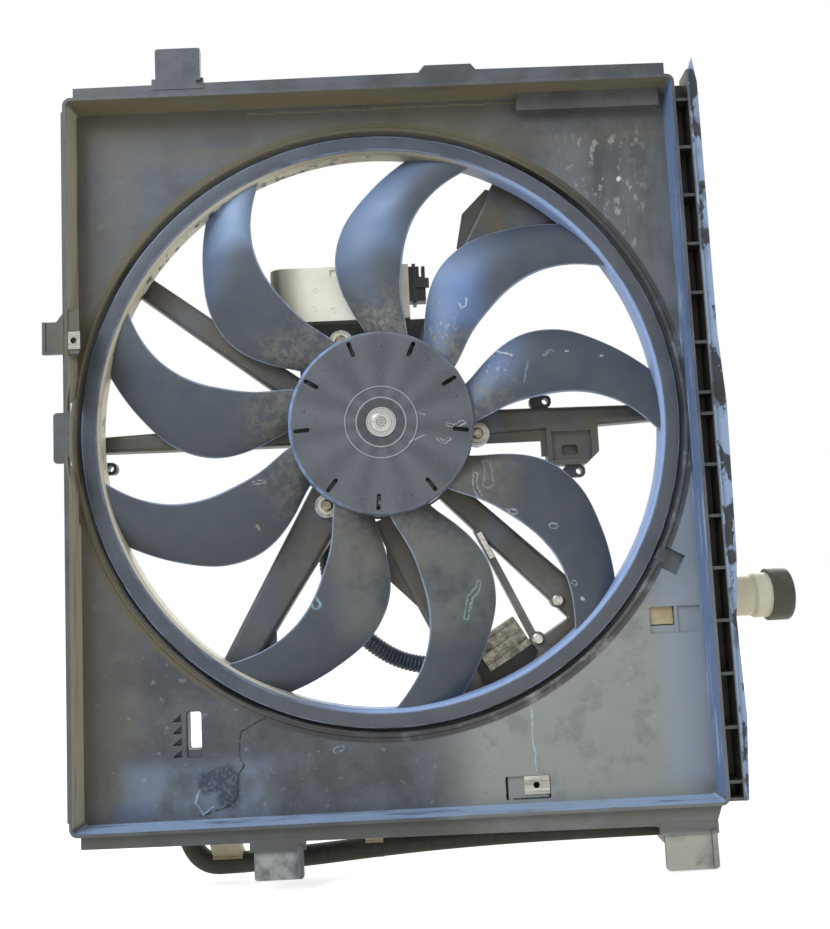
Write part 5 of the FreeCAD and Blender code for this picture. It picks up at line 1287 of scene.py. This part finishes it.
SHROUD = Plastic(
    "shroud_moulding", "#46494d", "#606469", dust="#8a867a", dusty=0.26, edge="#878d95", worn=0.45,
    patches=(
        floor_patch("#5c6470", (-215, -20), (40, 235), 34.0, 0.75, (20, 20, 4), (0.38, 0.62)),
        Patch("#6b6557", (-246, 5, -300), (-200, 30, 268), 22.0, Facing.ANY, 0.85, (26, 26, 3), (0.25, 0.55)),
        floor_patch("#6e6753", (-246, 228), (250, 270), 16.0, 0.85, (4, 26, 26), (0.25, 0.55)),
        floor_patch("#7a7d7d", (150, 90), (250, 225), 22.0, 0.8, (30, 30, 5), (0.35, 0.6)),
        floor_patch("#36383f", (-215, -260), (-150, -150), 24.0, 0.75, (22, 22, 22), (0.35, 0.6)),
        floor_patch("#8b9cb4", (-210, -300), (-100, -262), 14.0, 0.6, (22, 22, 22), (0.35, 0.6),
                    Facing.FRONT),
        # Painted shade: near black inside the opening behind the floor.
        Patch("#15130f", (216, 28, -127), (240, 60, -104), 2.0, share=0.9, window=(0.0, 0.2)),
        floor_patch("#c0c1b6", (62, -300), (226, -156), 46.0, 1.0, (14, 14, 14), (0.15, 0.42)),
        floor_patch("#74786f", (60, -300), (222, -160), 16.0, 0.6, (38, 38, 38), (0.5, 0.66), Facing.FRONT),
        floor_patch("#99a3af", (212, -290), (247, 60), 14.0, 0.9, (26, 26, 5), (0.2, 0.5)),
        floor_patch("#d8d9d4", (165, 140), (222, 232), 14.0, 0.5, (170, 170, 90), (0.57, 0.66), Facing.FRONT),
        floor_patch("#b9bcc2", (-230, -300), (225, 215), 20.0, 0.4, (150, 150, 150), (0.63, 0.7)),
        # Painted sky light: pale blue on the bottom wall, which faces up.
        Patch("#a0b8d9", *BOTTOM_WALL, 0.95, (8, 30, 30), (0.25, 0.45)),
        Patch("#55617a", *BOTTOM_WALL, 0.7, (14, 120, 120), (0.55, 0.64)),
        # Painted light by side: warm olive bounce light, streaked, on the top wall, which faces down; warm
        # beige on the left wall; sky blue on the right wall.
        Patch("#857b61", (-245, -2, 262), (250, 26, 276), 2.0, Facing.DOWN, 0.95, (6, 90, 60), (0.2, 0.45)),
        Patch("#dcd3b6", (-248, -2, -300), (-236, 26, 268), 2.0, Facing.RIGHT, 0.95, (40, 60, 5), (0.25, 0.5)),
        Patch("#6f86ad", *RIGHT_WALL, 0.95, (30, 60, 6), (0.25, 0.45)),
        Patch("#c8d2e2", *RIGHT_WALL, 0.7, (60, 130, 10), (0.56, 0.64)),
        Patch("#5d5545", (-250, 47, -250), (250, 72, 250), 2.0, Facing.ANY, 0.8, (30, 30, 30), (0.35, 0.6)),
        Patch("#44587f", (-142, 49, -190), (-88, 72, -100), 10.0, Facing.ANY, 0.5, (30, 30, 30), (0.35, 0.6)),
        # Painted shade: dark brown inside the ladder cells right of the tray.
        Patch("#2b271f", (250.2, 2, -306), (268, 40, 280), 0.6, share=0.95, window=(0.0, 0.2)),
        Patch("#a4bbdc", *OUTER_STRIP, 0.9, (40, 40, 25), (0.25, 0.5)),
        Patch("#20211f", *OUTER_STRIP, 0.95, (44, 40, 26), (0.52, 0.56)),
        Patch("#55544b", (-250, 0, -324), (250, 8, -306), 2.0, Facing.FRONT, 0.8, (12, 40, 40), (0.3, 0.55)),
        Patch("#7f8073", (60, 0, -326), (250, 12, -306), 14.0, Facing.FRONT, 0.7, (12, 40, 40), (0.3, 0.6)),
        Patch("#c4c4b3", (190, 0, -360), (250, 14, -327), 3.0, Facing.FRONT, 0.8, (40, 40, 40), (0.25, 0.55)),
        Patch("#bec1bb", (-118, 0, -360), (-76, 14, -326), 3.0, Facing.FRONT, 0.8, (40, 40, 40), (0.3, 0.6)),
        floor_patch("#4d5c80", (-219, -300), (-188, -288), 3.0, 0.4, (18, 18, 18), (0.1, 0.35)),
        Patch("#655d45", (-262, -3, 60), (-228, 28, 98), 3.0, Facing.ANY, 0.75, (60, 60, 60), (0.3, 0.6)),
        # Painted light and shade on the lip: a lit olive band on the upper left and a painted shadow on the
        # right.
        Band("#615840", *LIP, 140.0, -0.15, 0.9, 40.0, (0.2, 0.45)),
        Band("#2b2a29", *LIP, -30.0, 0.1, 0.85, 40.0, (0.25, 0.5)),
        floor_mark("#948761", ((-100.0, 264.2), (122.0, 264.8)), 1.4, 0.8),
        floor_mark("#2f3745", ((-146.0, -274.5), (-131.0, -272.0), (-131.0, -286.0)), 19.0, 0.95),
        floor_mark("#0c0b0a", ((-99.8, -226.6), (-106.8, -231.9), (-118.3, -236.9), (-121.3, -245.7),
                               (-121.2, -256.9), (-118.6, -263.7), (-123.0, -272.3), (-123.2, -286.7),
                               (-129.0, -293.0), (-154.0, -300.5)), 1.7),
        floor_mark("#a9c0dc", ((-152.0, -280.0), (-156.0, -290.0), (-150.0, -299.0),
                               (-143.0, -293.0)), 1.6, 0.75),
        floor_mark("#9fb6bd", ((-46.5, -255.4), (-42.0, -254.6)), 4.5, 0.7, 0.003, True),
        floor_mark("#a9cfe2", ((107.0, -230.1), (107.4, -250.3), (108.6, -278.3)), 1.5, 0.95),
        floor_mark("#eceeec", ((205.2, 194.6), (206.0, 196.2)), 3.4),
    ))
RING_PLASTIC = Plastic(
    "wheel_ring_plastic", "#484e58", "#555c67", dust="#85837a", dusty=0.22, edge="#8799b3", worn=0.5,
    patches=(
        Band("#5b5e62", 228.5, 243.0, 24.0, 29.0, 1.0, -35.0, 0.1, 0.8, 26.0, (0.3, 0.6)),
        Band("#5f6a7c", 225.0, 228.6, 24.0, 43.0, 0.5),
        # Painted light on the ring's inner wall: warm beige on the upper left and left, pale sky blue on the
        # right.
        Band("#a29880", *RING_INSIDE, 125.0, 0.0, 0.95, 26.0, (0.2, 0.42)),
        Band("#efe8cf", *RING_INSIDE, 178.0, 0.35, 0.9, 26.0, (0.2, 0.42)),
        Band("#9db6e2", 225.0, 229.3, 25.0, 43.0, 0.6, -18.0, 0.1, 0.95, 30.0, (0.15, 0.4)),
        Band("#4a3526", 225.0, 228.8, 30.0, 43.0, 0.6, 132.0, 0.62, 0.9, 95.0, (0.53, 0.6)),
        # Painted highlights: thin pale lines round the flange's outer and inner edges.
        Band("#93a8c8", 240.0, 241.4, 24.0, 28.0, 0.3, 200.0, -2.0, 0.65, 60.0, (0.35, 0.6)),
        Band("#8ea2c0", 229.0, 230.2, 24.0, 27.5, 0.3, 0.0, -2.0, 0.45, 60.0, (0.35, 0.6)),
    ))
BLADE_WEAR_AND_SHEEN: Marks = (
    # The first four patches are painted sheen: bluish reflections of the sky on the upper blades.
    blade_patch("#9dbbe2", (-124, 158), (-104, 195), 18.0, 0.8, (12, 12, 12), (0.1, 0.4)),
    blade_patch("#7d9cc6", (-14, 150), (18, 200), 22.0, 0.6, (12, 12, 12), (0.1, 0.4)),
    blade_patch("#6a8fca", (50, 80), (84, 128), 18.0, 0.6, (12, 12, 12), (0.1, 0.4)),
    blade_patch("#6481b4", (84, 36), (104, 56), 16.0, 0.5, (12, 12, 12), (0.1, 0.4)),
    blade_patch("#8c8878", (-12, 76), (14, 96), 9.0, 0.75, (230, 230, 230), (0.46, 0.6)),
    blade_patch("#7d7a6c", (-95, 48), (-56, 74), 12.0, 0.7, (200, 200, 200), (0.47, 0.6)),
    blade_patch("#76705f", (-104, -18), (-74, 12), 12.0, 0.75, (170, 170, 170), (0.46, 0.6)),
    blade_patch("#6e6a5c", (60, -76), (100, -30), 16.0, 0.8, (40, 40, 40), (0.3, 0.55)),
    blade_patch("#6a665a", (-40, -120), (30, -76), 16.0, 0.75, (40, 40, 40), (0.3, 0.55)),
    blade_patch("#878a81", (-38, -168), (84, -96), 20.0, 0.6, (26, 26, 26), (0.3, 0.55)),
    blade_patch("#c3cad4", (40, 66), (62, 96), 9.0, 0.55, (260, 260, 120), (0.55, 0.66)),
    blade_patch("#c3cad4", (86, 34), (106, 60), 9.0, 0.5, (240, 240, 160), (0.56, 0.66)),
    drawn("#c6cbd0", ((68.0, 96.0), (70.4, 91.7), (73.5, 93.0), (74.5, 99.5)), 1.5, 0.85, 0.005),
    drawn("#d5d8da", ((99.0, 57.5), (104.0, 55.0), (108.5, 51.5)), 1.9, 0.85, 0.006),
    drawn("#bfc5ca", ((136.0, 50.5), (139.7, 55.0), (143.0, 53.3)), 2.0, 0.8, 0.007, True),
    drawn("#bfc5ca", ((152.5, 52.7), (155.0, 52.9)), 1.7, 0.8, 0.003),
    drawn("#d8dadb", ((182.0, 47.9), (183.4, 48.1)), 1.7, 0.9, 0.002),
    drawn("#93a2ba", ((122.0, 46.0), (119.4, 38.0), (117.7, 28.0)), 1.5, 0.5, 0.003),
    drawn("#c3d2d6", ((100.5, -75.8), (103.5, -76.6)), 4.6, 0.8, 0.003, True),
    drawn("#c3d2d6", ((132.0, -88.6), (134.5, -89.6)), 4.6, 0.8, 0.003, True),
    drawn("#9eaab0", ((96.5, -74.4), (99.5, -75.4)), 1.6, 0.5, 0.002),
    drawn("#c4cdd2", ((146.6, -134.6), (148.0, -136.0)), 3.6, 0.8, 0.003, True),
    drawn("#d0d6d8", ((152.6, -147.6), (154.0, -149.2)), 2.6, 0.85, 0.003),
    drawn("#a9c6cb", ((71.7, -133.0), (66.0, -143.0), (61.2, -157.5)), 5.0, 0.8, 0.009, True),
    drawn("#b9c3c6", ((73.6, -45.0), (72.6, -56.0), (76.0, -64.0)), 4.6, 0.7, 0.006, True),
    drawn("#a7adab", ((84.0, -36.0), (83.0, -52.0)), 9.0, 0.4, 0.010, True),
    drawn("#a9d2da", ((-60.0, -139.5), (-57.6, -143.0)), 8.0, 0.9, 0.003, True),
    drawn("#c9cbc8", ((-103.0, -43.0), (-96.0, -43.6)), 3.6, 0.75, 0.008, True),
    drawn("#a99f8c", ((-103.5, -78.0), (-102.0, -81.0)), 2.6, 0.8),
)
HUB_WEAR_AND_HIGHLIGHTS: Marks = (
    # Painted highlights along the crests of the two fine ridges.
    Band("#c3c5c8", 19.4, 20.6, 18.0, 21.35, 0.12, share=0.7),
    Band("#b4b7bb", 28.4, 29.6, 18.0, 21.35, 0.12, share=0.7),
    Band("#3c3f43", 12.0, 18.6, 20.0, 24.0, 0.4, 0.0, -2.0, 0.6),
    drawn("#d9dcdd", ((53.0, -2.8), (59.0, -5.4), (66.0, -3.4)), 3.4, 0.8, 0.008, True),
    drawn("#cdd0d2", ((44.6, -14.6), (48.0, -17.4), (54.0, -17.0)), 3.0, 0.75, 0.008, True),
    drawn("#b9bcbf", ((30.0, 6.4), (35.0, 4.4)), 1.6, 0.6),
    drawn("#c9ccce", ((22.0, -17.6), (34.6, -11.8)), 1.2, 0.55),
)
CONDUIT_PLASTIC = Plastic("conduit_black_plastic", "#2f3a48", "#3d4856", dusty=0.45, worn=0.3)
HOSE_RUBBER = Rubber("hose_black_rubber", "#2f2c25", "#575142", 0.6)

FINISHES: dict[str, Finish] = {
    "shroud": SHROUD,
    "clip_nuts": Metal("clip_nut_zinc", "#b9b7ae", "#8f8c83", Brushing.ALONG_X, stained=0.45),
    "drive_disc": Metal("drive_disc_turned_steel", "#c9c9c6", "#a4a39e", Brushing.TURNED, stained=0.25,
                        rough=(0.25, 0.42)),
    "retaining_nut": Metal("retaining_nut_steel", "#cfcfcc", "#a8a6a0", Brushing.TURNED, stained=0.3),
    "motor_shaft": Metal("shaft_ground_steel", "#c4c2bc", "#8e8a82", Brushing.TURNED, stained=0.35),
    "motor_can": Metal("motor_can_paint", "#26282b", "#34363a", Brushing.NONE, "#5f3d22", 0.55, (0.4, 0.6),
                       0.0),
    "motor_end_cap": Metal("end_cap_paint", "#292b2e", "#373a3e", Brushing.NONE, "#66431f", 0.6, (0.4, 0.62),
                           0.0),
    "front_bearing": Metal("front_bush_bronze", "#b08a4e", "#8d6b38", Brushing.TURNED),
    "rear_bearing": Metal("rear_bush_bronze", "#b08a4e", "#8d6b38", Brushing.TURNED),
    "motor_plate": Metal("motor_plate_zinc", "#a6a8a8", "#85878a", Brushing.NONE, "#7a5a3a", 0.5),
    "motor_magnets": Metal("magnet_ferrite_grey", "#3a3a3c", "#4a4a4c", stained=0.1,
                           rough=(0.6, 0.8), metallic=0.0),
    "armature_core": Metal("core_stacked_sheet", "#8a8a8c", "#5c5c60", Brushing.ALONG_X, stained=0.2),
    "armature_winding": Metal("winding_enamelled_copper", "#b4622f", "#8a431c", Brushing.ALONG_Y,
                              stained=0.15),
    "commutator": Metal("commutator_copper", "#c07a4c", "#9a5a34", Brushing.ALONG_Y, stained=0.4),
    "carbon_brushes": Plastic("brush_carbon_grey", "#2c2c2d", "#3a3a3b", dusty=0.1, worn=0.2),
    "brush_springs": Metal("brush_spring_wire", "#b5b5b5", "#8c8c8c"),
    "brush_holder": Plastic("brush_holder_moulding", "#37342e", "#45423b", dusty=0.15),
    "motor_isolators": Rubber("isolator_black_rubber", "#2a2927", "#4f4a42"),
    "motor_sleeves": Metal("sleeve_plated_steel", "#b8b6ae", "#96938a", Brushing.TURNED),
    "motor_washers": Metal("washer_plated_steel", "#e3ddc8", "#c9c1a8", stained=0.35, metallic=0.2,
                           rough=(0.4, 0.6)),
    "motor_screws": Metal("motor_screw_plated_steel", "#a49d8c", "#6f695b", stained=0.5),
    "controller_housing": CoverCasting(),
    "controller_connector": Plastic("connector_black_moulding", "#26272a", "#34353a", dusty=0.3),
    "controller_screws": Metal("controller_screw_steel", "#b9b5aa", "#948f82", stained=0.5),
    "module_block": Metal("module_extruded_aluminium", "#9a9486", "#6b665b", Brushing.NONE, "#413c31", 0.7,
                          (0.4, 0.6), 0.7),
    "module_screws": Metal("module_screw_steel", "#d2d0c8", "#a8a598", stained=0.3),
    "coolant_tank": CreamTank(),
    "filler_neck": CreamTank("neck_cream_plastic", "#fffbe4", "#fbf3d6", "#ddd2b0"),
    "tank_screws": Metal("tank_screw_steel", "#b6b3a8", "#8f8a7d", stained=0.45),
    "tank_cap": Plastic("cap_dark_moulding", "#3c3a2e", "#4d4a3a", dust="#7a7358", dusty=0.45,
                        edge="#77725c"),
    "cap_seal": Rubber("seal_black_rubber", "#252423", "#3d3a36"),
    "hose_clips": Plastic("hose_clip_cream_moulding", "#cfc7ab", "#b5ab8c", dust="#7d735a", dusty=0.5,
                          edge="#e2dcc6"),
    "lead_grommet": Rubber("grommet_black_rubber", "#262523", "#45413a"),
    "module_plug": Plastic("plug_black_moulding", "#2b2c2f", "#3a3b3f", dusty=0.35),
    "terminal_strip": Metal("terminal_tinned_steel", "#cccbc4", "#a9a79d", Brushing.ALONG_X),
    "harness_clips": Plastic("harness_clip_black_moulding", "#2a2a2c", "#3a3a3d", dusty=0.3),
}


def main() -> None:
    """Builds the studio and every sub-assembly in order."""
    logging.basicConfig(level=logging.INFO, format="%(message)s")
    Studio().build()
    Dresser(FINISHES).dress()
    for assembly in (FanWheel(), Cords()):
        for piece in assembly.build():
            LOG.info("built %s with %d faces", piece.name, len(piece.data.polygons))


if __name__ == "__main__":
    main()
